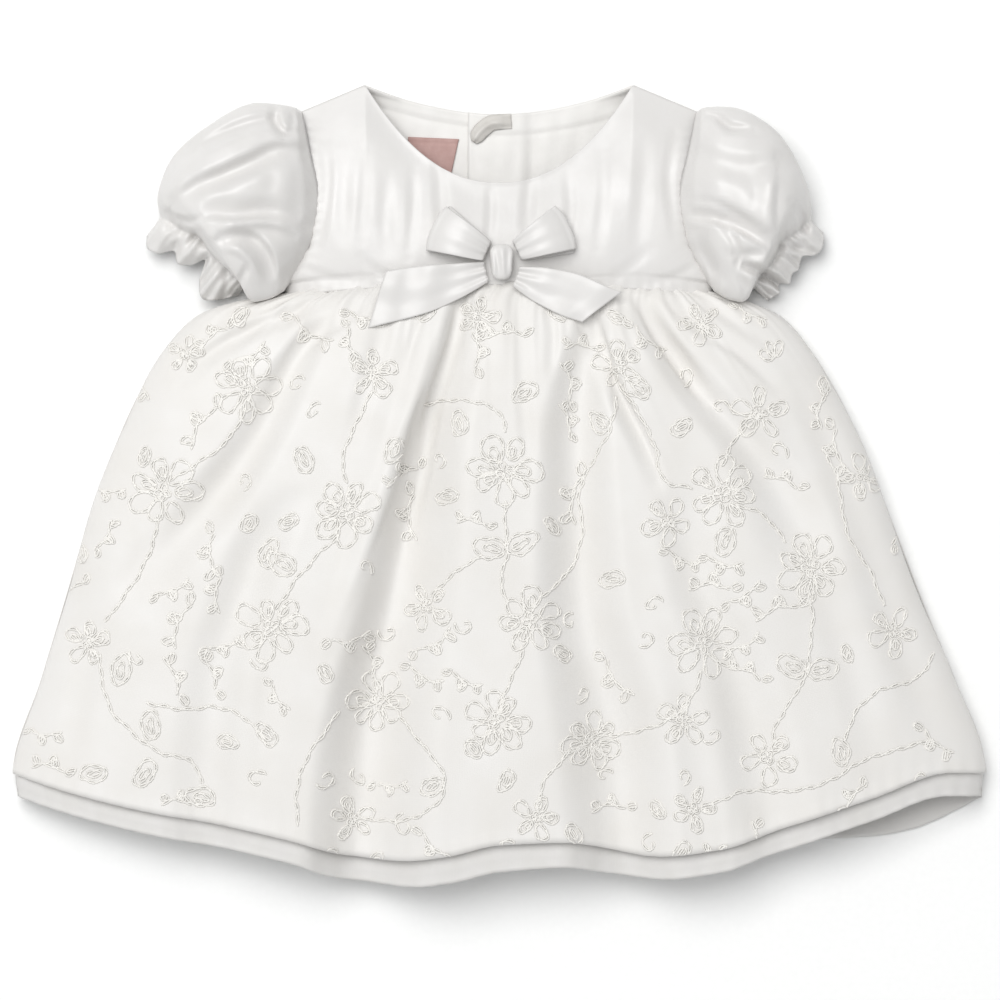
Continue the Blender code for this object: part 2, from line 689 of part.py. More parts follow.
def sleeve_form(side):
    """Outer surface of a sleeve. The angle runs from the upper end over the front to the lower end
    and back along the surface; v runs from the armhole to the frill's edge."""
    rings = SLEEVES[side]
    way = -1.0 if side == "left" else 1.0

    def surface(angle, v):
        share = (1 - np.cos(angle)) / 2
        lift = np.sin(angle)
        upper = np.stack([through(rings, "v", "upper_x", v), through(rings, "v", "upper_y", v)], -1)
        lower = np.stack([through(rings, "v", "lower_x", v), through(rings, "v", "lower_y", v)], -1)
        chord = lower - upper
        across = np.stack([chord[..., 1], -chord[..., 0]], -1)
        across = across / np.linalg.norm(across, axis=-1, keepdims=True)
        inset = through(rings, "v", "inset", v) * np.where(lift > 0, lift, 0.25 * lift)
        plan = upper + chord * share[..., None] + across * inset[..., None]
        armhole_x = through(ARMHOLE, "share", "x", share) + ARMHOLE_GAP
        armhole_y = mix(SHOULDER_END[1], UNDERARM_Y, share)
        near = np.clip(1 - v / ARMHOLE_BLEND, 0, 1) ** 2
        x = mix(plan[..., 0] + ARMHOLE_GAP, armhole_x, near)
        y = mix(plan[..., 1], armhole_y, near)
        end_z = mix(SLEEVE_TOP_Z, SIDE_SEAM_Z, share)
        over = end_z + (through(rings, "v", "top", v) - end_z) * np.maximum(lift, 0) ** 0.8
        under = end_z * (1 - np.maximum(-lift, 0) ** 0.6)
        z = np.where(lift > 0, over, under)
        facing = np.maximum(lift, 0.0)
        for fold in SLEEVE_FOLDS:
            along = np.clip((v - fold.v_start) / (fold.v_end - fold.v_start), 0, 1)
            centre = np.radians(mix(fold.angle_start, fold.angle_end, along))
            fade = np.sin(math.pi * along) ** 0.7
            z = z - fold.depth * fade * trough(angle - centre, math.radians(fold.half_angle))
        pinch = np.exp(-(((v - ELASTIC_AT) / ELASTIC_REACH) ** 2))
        z = z + CUFF_GATHER_HEIGHT * facing * pinch * np.cos(CUFF_GATHERS * 2 * angle)
        frill = np.clip((v - ELASTIC_AT) / (1 - ELASTIC_AT), 0, 1)
        z = z + FRILL_RISE * facing * frill * np.sin(FRILL_WAVES * 2 * angle)
        y = y + FRILL_SWAY * facing * frill * np.cos(FRILL_WAVES * 2 * angle)
        return np.stack([way * x, y, z], axis=-1)

    return surface


def tube_normal(form, angle, v, step=1e-4):
    """Unit normal of a tube's form."""
    v0, v1 = np.clip(v - step, 0, 1), np.clip(v + step, 0, 1)
    across = np.cross(form(angle + step, v) - form(angle - step, v), form(angle, v1) - form(angle, v0))
    return across / np.linalg.norm(across, axis=-1, keepdims=True)


def make_sleeve(side):
    form = sleeve_form(side)
    outward = -1.0 if side == "left" else 1.0
    count = SLEEVE_POINTS
    angles, vs, faces = [], [], []
    for i, v in enumerate(SLEEVE_ROWS):
        angles += [2 * math.pi * j / count for j in range(count)]
        vs += [v] * count
        for j in range(count if i else 0):
            a, b = (i - 1) * count, i * count
            k = (j + 1) % count
            faces.append((a + j, a + k, b + k, b + j))
    angles, vs = np.array(angles), np.array(vs)
    outer = form(angles, vs)
    away = tube_normal(form, angles, vs) * outward
    at_armhole = vs == 0
    away[at_armhole, 0] = 0.0
    away /= np.linalg.norm(away, axis=-1, keepdims=True)
    points, shell = close_wall(outer, outer - THIN_WALL * away, faces)
    make_object(f"sleeve_{side}", points, shell, SATIN)


def front_heights():
    """Sampled points of the whole front, for what lies on it."""
    t, v = np.meshgrid(np.linspace(-1, 1, 321), np.linspace(0, 0.5, 121))
    skirt = gathered_skirt(t, v).reshape(-1, 3)
    u, w = np.meshgrid(np.linspace(-1, 1, 241), np.linspace(0, 1, 121))
    bodice = bodice_form(u, w).reshape(-1, 3)
    return np.concatenate([skirt, bodice])


def resting_on(front, x, y, reach=3.0):
    """Height of the front below each place, the highest within reach of it."""
    heights = []
    for px, py in zip(np.ravel(x), np.ravel(y)):
        near = np.hypot(front[:, 0] - px, front[:, 1] - py) < reach
        heights.append(front[near, 2].max())
    return np.array(heights).reshape(np.shape(x))


def make_bow_loop(side, front):
    """Half a bow: ribbon that runs out from the knot, turns and comes back over itself."""
    start, end = np.array(LOOPS[side]["start"]), np.array(LOOPS[side]["end"])
    length = np.linalg.norm(end - start)
    along = (end - start) / length
    across = np.array([-along[1], along[0]])
    radius = LOOP_TURN_RADIUS
    run = length - radius
    total = 2 * run + math.pi * radius

    def surface(t, v):
        path = v * total
        turn = np.clip((path - run) / radius, 0, math.pi)
        back = np.maximum(path - run - math.pi * radius, 0)
        reach = np.minimum(path, run) - back + radius * np.sin(turn)
        puff = LOOP_PUFF * np.sin(math.pi * np.clip(back / run, 0, 1)) ** 0.8
        height = radius * (1 - np.cos(turn)) + puff
        half = mix(*LOOP_HALF_WIDTHS, np.clip(reach / length, 0, 1) ** 0.8)
        plan = start + along * reach[..., None] + across * (t * half)[..., None]
        crown = LOOP_CROWN * (1 - t * t) * np.where(path > run, 1.0, 0.0) * np.clip(reach / length, 0, 1)
        base = start + along * np.clip(reach, 0, length)[..., None]
        rest = resting_on(front, base[..., 0], base[..., 1], 9.0)
        return np.concatenate([plan, (rest + BOW_CLEARANCE + height + crown)[..., None]], axis=-1)

    t, v, faces = grid(even_rows(np.linspace(0, 1, 16), 4))
    outer = surface(t, v)
    step = 1e-3
    wide = surface(np.clip(t + step, -1, 1), v) - surface(np.clip(t - step, -1, 1), v)
    long = surface(t, np.clip(v + step, 0, 1)) - surface(t, np.clip(v - step, 0, 1))
    inward = np.cross(long, wide)
    inward /= np.linalg.norm(inward, axis=-1, keepdims=True)
    first = inward[:, 2][np.argmin(v)]
    inward = inward if first > 0 else -inward
    points, shell = close_wall(outer, outer + THIN_WALL * inward, faces)
    make_object(f"bow_loop_{side}", points, shell, SATIN)


def make_bow_tail(side, front):
    """A ribbon end that lies from the knot down over the waist seam."""
    rows = TAILS[side]
    stations = [row._replace(x=abs(row.x)) for row in rows]
    way = -1.0 if side == "left" else 1.0

    def surface(t, v):
        skewed = v * (1 + TAIL_SKEW[side] * way * t)
        x = mix(stations[0].x, stations[-1].x, skewed)
        y = through(stations, "x", "y", x)
        extra = np.maximum(x - stations[-1].x, 0)
        half = through(stations, "x", "half_width", x)
        tilt = math.atan2(stations[0].y - stations[-1].y, stations[-1].x - stations[0].x)
        px = x + t * half * math.sin(tilt)
        py = y - extra * math.tan(tilt) + t * half * math.cos(tilt)
        rest = resting_on(front, way * px, py, 4.5)
        lift = TAIL_LIFT * np.sin(math.pi * np.clip(v, 0, 1)) * (1 - 0.5 * t * t)
        return np.stack([way * px, py, rest + BOW_CLEARANCE + THIN_WALL + lift], axis=-1)

    t, v, faces = grid(even_rows(np.linspace(0, 1, 9), 4))
    top = surface(t, v)
    points, shell = close_wall(top, top - np.array([0, 0, THIN_WALL]), faces)
    make_object(f"bow_tail_{side}", points, shell, SATIN)


def make_bow_knot(front):
    """The wrap round the middle of the bow: a soft, slightly square lump."""
    form = bmesh.new()
    bmesh.ops.create_uvsphere(form, u_segments=16, v_segments=8, radius=1.0)
    points = np.array([v.co[:] for v in form.verts])
    faces = [tuple(v.index for v in face.verts) for face in form.faces]
    form.free()
    points = np.sign(points) * np.abs(points) ** 0.8 * np.array(KNOT_SIZE) / 2
    rest = resting_on(front, *KNOT_CENTRE, 8.0)
    points += np.array([*KNOT_CENTRE, float(rest) + SEAM_GAP + KNOT_SIZE[2] / 2])
    make_object("bow_knot", points, faces, SATIN)


def make_label():
    """A woven label that lies on the inside of the left back."""
    wide, tall, thick = LABEL_SIZE

    def surface(lift):
        def form(t, v):
            x, y = t * wide / 2, (v - 0.5) * tall
            px = LABEL_CENTRE[0] + x * math.cos(LABEL_TURN) - y * math.sin(LABEL_TURN)
            py = LABEL_CENTRE[1] + x * math.sin(LABEL_TURN) + y * math.cos(LABEL_TURN)
            return np.stack([px, py, np.full_like(px, lift)], axis=-1)

        return form

    low = WALL + SEAM_GAP
    rows = even_rows((0.0, 0.5, 1.0), 3)
    sheet_wall("neck_label", surface(low + thick), surface(low), rows, LABEL_CLOTH)


def make_button_loop():
    """A flat satin loop, sewn at the neck edge, that lies curled over the top corner of the placket."""
    low = PLACKET_STEP + WALL + SEAM_GAP + NECK_TURN_RISE

    def plan(t, v, step=1e-3):
        x, y, half = (through(BUTTON_LOOP, "v", column, v) for column in ("x", "y", "half_width"))
        v0, v1 = np.clip(v - step, 0, 1), np.clip(v + step, 0, 1)
        run_x = through(BUTTON_LOOP, "v", "x", v1) - through(BUTTON_LOOP, "v", "x", v0)
        run_y = through(BUTTON_LOOP, "v", "y", v1) - through(BUTTON_LOOP, "v", "y", v0)
        far = np.hypot(run_x, run_y)
        return x - t * half * run_y / far, y + t * half * run_x / far

    def lower(t, v):
        x, y = plan(t, v)
        return np.stack([x, y, np.full_like(x, low)], axis=-1)

    def upper(t, v):
        points = lower(t, v)
        points[..., 2] += BUTTON_LOOP_EDGE + BUTTON_LOOP_CROWN * (1 - t * t)
        return points

    sheet_wall("button_loop", upper, lower, even_rows(np.linspace(0, 1, 11), 4), SATIN)


def main():
    clear_scene()
    make_bodice_front()
    make_bodice_backs()
    make_skirt_front()
    make_lining_front()
    make_skirt_backs()
    front = front_heights()
    for side in ("left", "right"):
        make_sleeve(side)
        make_bow_loop(side, front)
        make_bow_tail(side, front)
    make_bow_knot(front)
    make_label()
    make_button_loop()


main()
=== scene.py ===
"""Looks of a baby's lace party dress that lies on its back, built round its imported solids.

Sizes in the classes are millimetres until a mesh is made. X runs across the dress, Y from the hem
to the neck and Z up from the surface that the dress lies on.
"""

import logging
import math
from dataclasses import dataclass, field
from enum import Enum
from itertools import product
from typing import Any, Callable, Optional

import bpy
import numpy as np
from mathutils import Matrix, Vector
from mathutils.bvhtree import BVHTree


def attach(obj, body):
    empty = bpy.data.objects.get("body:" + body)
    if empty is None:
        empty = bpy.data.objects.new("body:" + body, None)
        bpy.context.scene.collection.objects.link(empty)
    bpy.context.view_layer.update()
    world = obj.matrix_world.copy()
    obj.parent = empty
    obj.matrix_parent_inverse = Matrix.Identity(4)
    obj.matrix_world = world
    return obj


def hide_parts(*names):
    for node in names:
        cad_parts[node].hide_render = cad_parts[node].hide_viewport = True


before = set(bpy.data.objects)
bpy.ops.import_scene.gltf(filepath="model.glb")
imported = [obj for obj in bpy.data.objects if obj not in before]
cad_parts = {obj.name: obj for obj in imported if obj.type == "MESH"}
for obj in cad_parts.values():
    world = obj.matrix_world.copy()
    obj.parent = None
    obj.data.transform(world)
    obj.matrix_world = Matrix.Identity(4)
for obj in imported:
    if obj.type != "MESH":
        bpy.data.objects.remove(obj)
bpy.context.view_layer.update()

LOG = logging.getLogger("lace_dress")
MM = 0.001
Array = np.ndarray
Form = Callable[[Array, Array], Array]
Plan = tuple[float, float]
Piece = bpy.types.Object

# The dress in mm: its waist seam, side seams, seam gaps, placket, cloth and the solids' walls
WAIST_HALF = 103.2
WAIST_END_Y = 89.8
WAIST_RISE = 5.2
WAIST_HEIGHT = 24.0
SIDE_SEAM_Z = 7.0
SEAM_GAP = 0.3
PLACKET_STEP = 1.5
CLOTH = 0.4
WALL = 1.0
# Step of t and v that a form's normal is taken from
NORMAL_STEP = 1e-4
# Scale of the thread bands: they come out 1.23 times as far apart as a cloth states
THREAD_SCALE = 1.6


class Slot(Enum):
    """Material slots of the record."""

    SATIN = "satin"
    LACE = "lace"
    LINING = "lining"
    LABEL = "label"


class Outward(Enum):
    """Which way the outer face of a sheet looks."""

    UP = 1
    DOWN = -1
    ROUND = 0


def srgb(code: str) -> tuple[float, float, float, float]:
    """Turn an sRGB hex colour into a linear one.

    Args:
        code: Six hex digits, with or without a leading hash.

    Returns:
        Red, green, blue and an alpha of 1.
    """
    digits = code.lstrip("#")
    parts = [int(digits[i : i + 2], 16) / 255 for i in (0, 2, 4)]
    linear = [p / 12.92 if p <= 0.04045 else ((p + 0.055) / 1.055) ** 2.4 for p in parts]
    return (*linear, 1.0)


def add_node(tree: Any, kind: str, settings: Optional[dict] = None, links: Optional[dict] = None) -> Any:
    """Add a shader node with its settings and its incoming links.

    Args:
        tree: The node tree.
        kind: The node's type name.
        settings: Property names or input names or numbers, with their values.
        links: Input names or numbers, with the sockets that feed them.

    Returns:
        The new node.
    """
    node = tree.nodes.new(kind)
    for key, value in (settings or {}).items():
        if isinstance(key, str) and key[0].islower():
            setattr(node, key, value)
        else:
            node.inputs[key].default_value = value
    for key, socket in (links or {}).items():
        tree.links.new(socket, node.inputs[key])
    return node


def mix(a: Any, b: Any, share: Any) -> Any:
    """Value at a share of the way from a to b."""
    return a + (b - a) * share


def unit(value: Any) -> Any:
    """Value kept between 0 and 1."""
    return np.clip(value, 0, 1)


def smooth(share: Any) -> Any:
    """Share from 0 to 1 with soft ends."""
    share = unit(share)
    return share * share * (3 - 2 * share)


def bell(off: Any) -> Any:
    """Height of a round bump: 1 at its middle, with off counted in its own widths."""
    return np.exp(-(off**2))


def stacked(*parts: Array) -> Array:
    """Coordinates side by side on a last axis."""
    return np.stack(parts, axis=-1)


def direction(way: Array) -> Array:
    """Vectors brought to length 1."""
    return way / np.maximum(np.linalg.norm(way, axis=-1, keepdims=True), 1e-12)


def pucker(at: Array, pitch: float, sway: float, over: float) -> Array:
    """Uneven small waves along a seam, pitch apart in mm, crowded and eased over a longer length."""
    return np.sin(at * math.tau / pitch + sway * np.sin(at / over))


def through(rows: tuple, column: int, at: Any) -> Array:
    """Read a table's column on a curve with no overshoot.

    Args:
        rows: Rows of numbers, in rising or falling order of the first.
        column: The number of the column to read.
        at: Values of the first column to read at.

    Returns:
        The column's values there.
    """
    table = np.array(sorted(rows), dtype=float)
    keys, values = table[:, 0], table[:, column]
    steps = np.diff(keys)
    rises = np.diff(values) / steps
    slopes = np.zeros_like(values)
    same_way = rises[:-1] * rises[1:] > 0
    total = np.where(same_way, rises[:-1] + rises[1:], 1.0)
    slopes[1:-1] = np.where(same_way, 2 * rises[:-1] * rises[1:] / total, 0.0)
    slopes[0], slopes[-1] = rises[0], rises[-1]
    at = np.clip(at, keys[0], keys[-1])
    i = np.clip(np.searchsorted(keys, at, side="right") - 1, 0, len(steps) - 1)
    h = steps[i]
    f = (at - keys[i]) / h
    return (
        (1 + 2 * f) * (1 - f) ** 2 * values[i]
        + f * (1 - f) ** 2 * h * slopes[i]
        + f * f * (3 - 2 * f) * values[i + 1]
        + f * f * (f - 1) * h * slopes[i + 1]
    )


def smooth_line(points: tuple, step: float) -> Array:
    """A smooth plan line through points, with a point about every step.

    Args:
        points: Plan points in mm.
        step: Distance between the new points in mm.

    Returns:
        The line's points, one row each.
    """
    p = np.array(points, dtype=float)
    ends = np.vstack([2 * p[0] - p[1], p, 2 * p[-1] - p[-2]])
    made = [p[:1]]
    for i in range(len(p) - 1):
        a, b, c, d = ends[i : i + 4]
        count = max(2, int(np.linalg.norm(c - b) / step))
        f = (np.arange(1, count + 1) / count)[:, None]
        bend = (2 * a - 5 * b + 4 * c - d) * f**2
        made.append(0.5 * (2 * b + (c - a) * f + bend + (3 * b - a - 3 * c + d) * f**3))
    return np.vstack(made)


def undulation(x: Array, y: Array, length: float, seed: int) -> Array:
    """Soft uneven waves over the plan, about -1 to 1.

    Args:
        x: Plan X in mm.
        y: Plan Y in mm.
        length: Usual wave length in mm.
        seed: Which waves to draw.

    Returns:
        The wave height at each place.
    """
    draw = np.random.default_rng(seed)
    height = np.zeros(np.broadcast(x, y).shape)
    for _ in range(6):
        way, phase = draw.uniform(0, math.tau, 2)
        pitch = math.tau / (length * draw.uniform(0.6, 1.6))
        height += np.sin((x * math.cos(way) + y * math.sin(way)) * pitch + phase)
    return height / 3.2


@dataclass(frozen=True)
class Crease:
    """A valley pressed into cloth along a smooth line in plan. A negative depth is a ridge.

    Lean makes it steep on one side: above 0 on the left of the way the line runs, below 0 on the right.
    """

    line: tuple
    half_width: float
    depth: float
    lean: float = 0.0

    def at(self, x: Array, y: Array) -> Array:
        """Depth at plan places, fading out at both ends of the line."""
        path = smooth_line(self.line, step=4.0)
        low, high = path.min(axis=0) - self.half_width, path.max(axis=0) + self.half_width
        near = (x > low[0]) & (x < high[0]) & (y > low[1]) & (y < high[1])
        depth = np.zeros(np.shape(x))
        if not near.any():
            return depth
        px, py = x[near], y[near]
        best, share, offset = np.full(px.shape, 1e9), np.zeros(px.shape), np.zeros(px.shape)
        count = len(path) - 1
        for i in range(count):
            a, d = path[i], path[i + 1] - path[i]
            along = unit(((px - a[0]) * d[0] + (py - a[1]) * d[1]) / max(d @ d, 1e-9))
            off_x, off_y = px - a[0] - along * d[0], py - a[1] - along * d[1]
            off = np.hypot(off_x, off_y)
            nearer = off < best
            best = np.where(nearer, off, best)
            share = np.where(nearer, (i + along) / count, share)
            offset = np.where(nearer, np.sign(d[0] * off_y - d[1] * off_x) * off, offset)
        left = self.half_width * (1 - 0.8 * max(self.lean, 0))
        right = self.half_width * (1 + 0.8 * min(self.lean, 0))
        q = unit(np.where(offset > 0, offset / left, -offset / right))
        cross = (1 + np.cos(math.pi * q)) / 2
        depth[near] = self.depth * cross * np.sin(math.pi * np.clip(share, 0.04, 0.96)) ** 0.6
        return depth


def crease_depth(creases: tuple, x: Array, y: Array) -> Array:
    """Depth of several creases together."""
    return sum(crease.at(x, y) for crease in creases)


def pressed(*rows: tuple) -> tuple[Crease, ...]:
    """Creases from rows of a line, its half width, its depth and, where it leans, its lean."""
    return tuple(Crease(*row) for row in rows)


@dataclass(frozen=True)
class Finish:
    """What every finish has: a name, two close colours and a roughness."""

    name: str
    colour: str
    shade: str
    roughness: float

    def nodes(self) -> list[tuple]:
        """Rows of a node's name, kind, settings and links, each link a node's name and its output."""
        raise NotImplementedError

    def inputs(self) -> dict[str, Any]:
        """What the shader's inputs get: a value, or a node's name and its output."""
        raise NotImplementedError

    def colours(self) -> dict:
        """Settings of the node that mixes the two colours."""
        return {"data_type": "RGBA", 6: srgb(self.colour), 7: srgb(self.shade)}

    def material(self) -> bpy.types.Material:
        """Make the material once and give it back after that."""
        if self.name in bpy.data.materials:
            return bpy.data.materials[self.name]
        made = bpy.data.materials.new(self.name)
        made.use_nodes = True
        tree, nodes = made.node_tree, {}
        for name, kind, settings, links in self.nodes():
            sockets = {key: nodes[source].outputs[output] for key, (source, output) in links.items()}
            nodes[name] = add_node(tree, f"ShaderNode{kind}", settings, sockets)
        for key, value in self.inputs().items():
            socket = tree.nodes["Principled BSDF"].inputs[key]
            if isinstance(value, tuple):
                tree.links.new(nodes[value[0]].outputs[value[1]], socket)
            else:
                socket.default_value = value
        return made


@dataclass(frozen=True)
class Cloth(Finish):
    """A woven cloth finish: gloss, threads and the slow unevenness of its surface, in mm."""

    thread: float
    thread_relief: float
    uneven: float
    uneven_relief: float
    sheen: float
    specular: float
    cross_threads: bool

    def nodes(self) -> list[tuple]:
        """Clouds for tint and gloss, one or two sets of threads, and both reliefs."""
        scale = THREAD_SCALE / (math.tau * self.thread * MM)
        wave = {"wave_type": "BANDS", "Scale": scale, "Distortion": 0.6}
        flat, clouds, threads = {"Vector": ("flat", "UV")}, ("clouds", "Fac"), ("warp", "Fac")
        span = {"From Min": 0.3, "From Max": 0.7}
        gloss = {"To Min": self.roughness - 0.05, "To Max": self.roughness + 0.07}
        noise = {"Scale": 1 / (self.uneven * MM), "Detail": 3.0, "Roughness": 0.5}
        rows = [
            ("place", "TexCoord", {}, {}),
            ("flat", "UVMap", {"uv_map": "cloth"}, {}),
            ("clouds", "TexNoise", noise, {"Vector": ("place", "Object")}),
            ("warp", "TexWave", {**wave, "bands_direction": "X"}, flat),
        ]
        if self.cross_threads:
            rows.append(("weft", "TexWave", {**wave, "bands_direction": "Y"}, flat))
            rows.append(("both", "Math", {"operation": "MULTIPLY"}, {0: threads, 1: ("weft", "Fac")}))
            threads = ("both", "Value")
        return rows + [
            ("tint", "MapRange", {**span, "To Min": 0.0, "To Max": 0.6}, {"Value": clouds}),
            ("weave", "Math", {"operation": "MULTIPLY_ADD", 1: 0.3}, {0: threads, 2: ("tint", "Result")}),
            ("colour", "Mix", self.colours(), {0: ("weave", "Value")}),
            ("gloss", "MapRange", {**span, **gloss}, {"Value": clouds}),
            ("slow", "Bump", {"Strength": 1.0, "Distance": self.uneven_relief * MM}, {"Height": clouds}),
            (
                "fine", "Bump", {"Strength": 1.0, "Distance": self.thread_relief * MM},
                {"Height": threads, "Normal": ("slow", "Normal")},
            ),
        ]

    def inputs(self) -> dict[str, Any]:
        """Sheen and gloss level as values, the rest from the nodes."""
        plain = {"Sheen Weight": self.sheen, "Specular IOR Level": self.specular}
        wired = {"Roughness": ("gloss", "Result"), "Normal": ("fine", "Normal")}
        return {**plain, **wired, "Base Color": ("colour", 2)}


@dataclass(frozen=True)
class Plain(Finish):
    """A finish with no weave, for the cord and the floor: fine mottling and relief, in mm."""

    grain: float
    relief: float

    def nodes(self) -> list[tuple]:
        """Grain for the colour and the relief."""
        grain, noise = ("grain", "Fac"), {"Scale": 1 / (self.grain * MM), "Detail": 2.0}
        return [
            ("place", "TexCoord", {}, {}),
            ("grain", "TexNoise", noise, {"Vector": ("place", "Object")}),
            ("colour", "Mix", self.colours(), {0: grain}),
            ("bump", "Bump", {"Strength": 1.0, "Distance": self.relief * MM}, {"Height": grain}),
        ]

    def inputs(self) -> dict[str, Any]:
        """Roughness as a value, the rest from the nodes."""
        return {"Roughness": self.roughness, "Base Color": ("colour", 2), "Normal": ("bump", "Normal")}


# Polyester duchess satin: smooth, bright, with a soft sheen and a warp too fine to see. Its real
# threads are 0.1 mm apart and are drawn 0.6 mm apart so that they show close up.
SATIN = Cloth("polyester_satin", "DCDAD8", "D7D5D2", 0.35, 0.5, 0.008, 16.0, 0.3, 0.05, 0.5, False)
# The same satin, plainer and closer, as the lining of the skirt.
LINING_SATIN = Cloth("lining_satin", "DAD8D6", "D4D2CE", 0.45, 0.5, 0.012, 12.0, 0.4, 0.05, 0.4, False)
# The bodice's lining seen inside the back: the same satin, its colour painted lighter as painted light over
# the shade inside the back.
BACK_SATIN_PAINTED_LIGHT = Cloth("back_satin_painted_light", "E9E7E4", "E4E2DE", 0.42, 0.5, 0.01, 14.0, 0.3, 0.05, 0.4, False)
# Organza with its backing: crisp plain weave, slightly creamy where light passes through it. Its
# real threads are 0.2 mm apart and are drawn 0.9 mm apart.
ORGANZA = Cloth("embroidered_organza", "E3E1DE", "DEDBD6", 0.5, 0.7, 0.02, 24.0, 0.3, 0.15, 0.4, True)
# Rayon embroidery cord, glossy ivory strands that catch light on top.
CORD = Plain("rayon_cord", "F1EFEB", "E8E5DF", 0.42, 0.5, 0.1)
# Damask-woven polyester label cloth, matt mauve.
LABEL = Cloth("woven_label", "C09F99", "AD8983", 0.6, 0.55, 0.04, 6.0, 0.1, 0.1, 0.3, True)
# Satin of the button loop, cut on the cross; its colour is painted greyer and more beige than the bodice's
# satin, as painted shade where the loop curls over the placket's corner.
LOOP_SATIN_PAINTED_SHADE = Cloth("loop_satin_painted_shade", "D2CFCA", "C2BEB8", 0.45, 0.5, 0.012, 5.0, 0.3, 0.05, 0.4, False)
# Pale studio paper, matt.
PAPER = Plain("studio_paper", "FAFAF9", "F6F6F5", 0.9, 3.0, 0.02)


def deselect() -> None:
    """Leave nothing selected."""
    if bpy.context.object and bpy.context.object.mode != "OBJECT":
        bpy.ops.object.mode_set(mode="OBJECT")
    bpy.ops.object.select_all(action="DESELECT")


def select_only(made: Piece) -> None:
    """Leave one object selected and active."""
    deselect()
    made.select_set(True)
    bpy.context.view_layer.objects.active = made


def edit_all(made: Piece, *operators: Callable[[], Any]) -> None:
    """Run edit operators on the whole of one mesh.

    Args:
        made: The mesh object.
        operators: Calls to make with everything selected.
    """
    select_only(made)
    bpy.ops.object.mode_set(mode="EDIT")
    bpy.ops.mesh.select_all(action="SELECT")
    for operator in operators:
        operator()
    bpy.ops.object.mode_set(mode="OBJECT")


def apply_modifiers(made: Piece) -> None:
    """Apply every modifier of one object."""
    select_only(made)
    for modifier in list(made.modifiers):
        bpy.ops.object.modifier_apply(modifier=modifier.name)


def points_of(made: Piece) -> Array:
    """Vertex places of a mesh object in mm."""
    co = np.zeros(len(made.data.vertices) * 3)
    made.data.vertices.foreach_get("co", co)
    return co.reshape(-1, 3) / MM


def faces_outward(made: Piece, outward: Outward) -> bool:
    """Whether a sheet's faces look the way they should."""
    count = len(made.data.polygons)
    normals, centres = np.zeros(count * 3), np.zeros(count * 3)
    made.data.polygons.foreach_get("normal", normals)
    made.data.polygons.foreach_get("center", centres)
    normals, centres = normals.reshape(-1, 3), centres.reshape(-1, 3)
    if outward is Outward.ROUND:
        away = centres - centres.mean(axis=0)
        return float((normals * away).sum()) > 0
    return float(normals[:, 2].sum()) * outward.value > 0


@dataclass
class Sheet:
    """A sheet of cloth made from a grid that is laid on a form.

    The grid's columns run across the cloth, t from -1 to 1, and its rows down it, v from 0 to end.
    """

    name: str
    form: Form
    columns: int
    rows: int
    flat: tuple[float, float]
    end: float = 1.0
    crowd: float = 1.0
    outward: Outward = Outward.UP
    thickness: float = CLOTH
    closed: bool = False

    def build(self, finish: Finish) -> Piece:
        """Make the sheet's mesh with its thickness, cloth coordinates and finish.

        Args:
            finish: The cloth it is cut from.

        Returns:
            The finished object, at the origin.
        """
        deselect()
        bpy.ops.mesh.primitive_grid_add(x_subdivisions=self.columns, y_subdivisions=self.rows)
        made = bpy.context.object
        made.name = made.data.name = self.name
        plane = points_of(made) * MM
        t, v = plane[:, 0], unit((1 - plane[:, 1]) / 2) ** self.crowd * self.end
        placed = self.form(t, v) * MM
        made.data.vertices.foreach_set("co", placed.ravel())
        made.data.update()
        self.lay_out_uv(made, t, v)
        if self.closed:
            edit_all(made, lambda: bpy.ops.mesh.remove_doubles(threshold=1e-6))
        if not faces_outward(made, self.outward):
            edit_all(made, bpy.ops.mesh.flip_normals)
        wall = made.modifiers.new("thickness", "SOLIDIFY")
        wall.thickness = self.thickness * MM
        wall.offset = -1.0
        apply_modifiers(made)
        made.data.shade_smooth()
        made.data.materials.clear()
        made.data.materials.append(finish.material())
        return made

    def lay_out_uv(self, made: Piece, t: Array, v: Array) -> None:
        """Write cloth coordinates in metres, as the sheet was cut."""
        layer = made.data.uv_layers[0]
        layer.name = "cloth"
        corners = np.zeros(len(made.data.loops), dtype=np.int32)
        made.data.loops.foreach_get("vertex_index", corners)
        across = (t[corners] + 1) / 2 * self.flat[0]
        down = v[corners] / self.end * self.flat[1]
        layer.data.foreach_set("uv", stacked(across, down).ravel() * MM)


def ride(made: Piece, slot: Slot, *nodes: str) -> Piece:
    """Tie a finished piece to the dress and hide the solids that it stands for.

    Args:
        made: The piece.
        slot: Its slot in the record; not used.
        nodes: Solids that it replaces.

    Returns:
        The piece.
    """
    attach(made, "root")
    if nodes:
        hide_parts(*nodes)
    LOG.info("%s: %d faces", made.name, len(made.data.polygons))
    return made


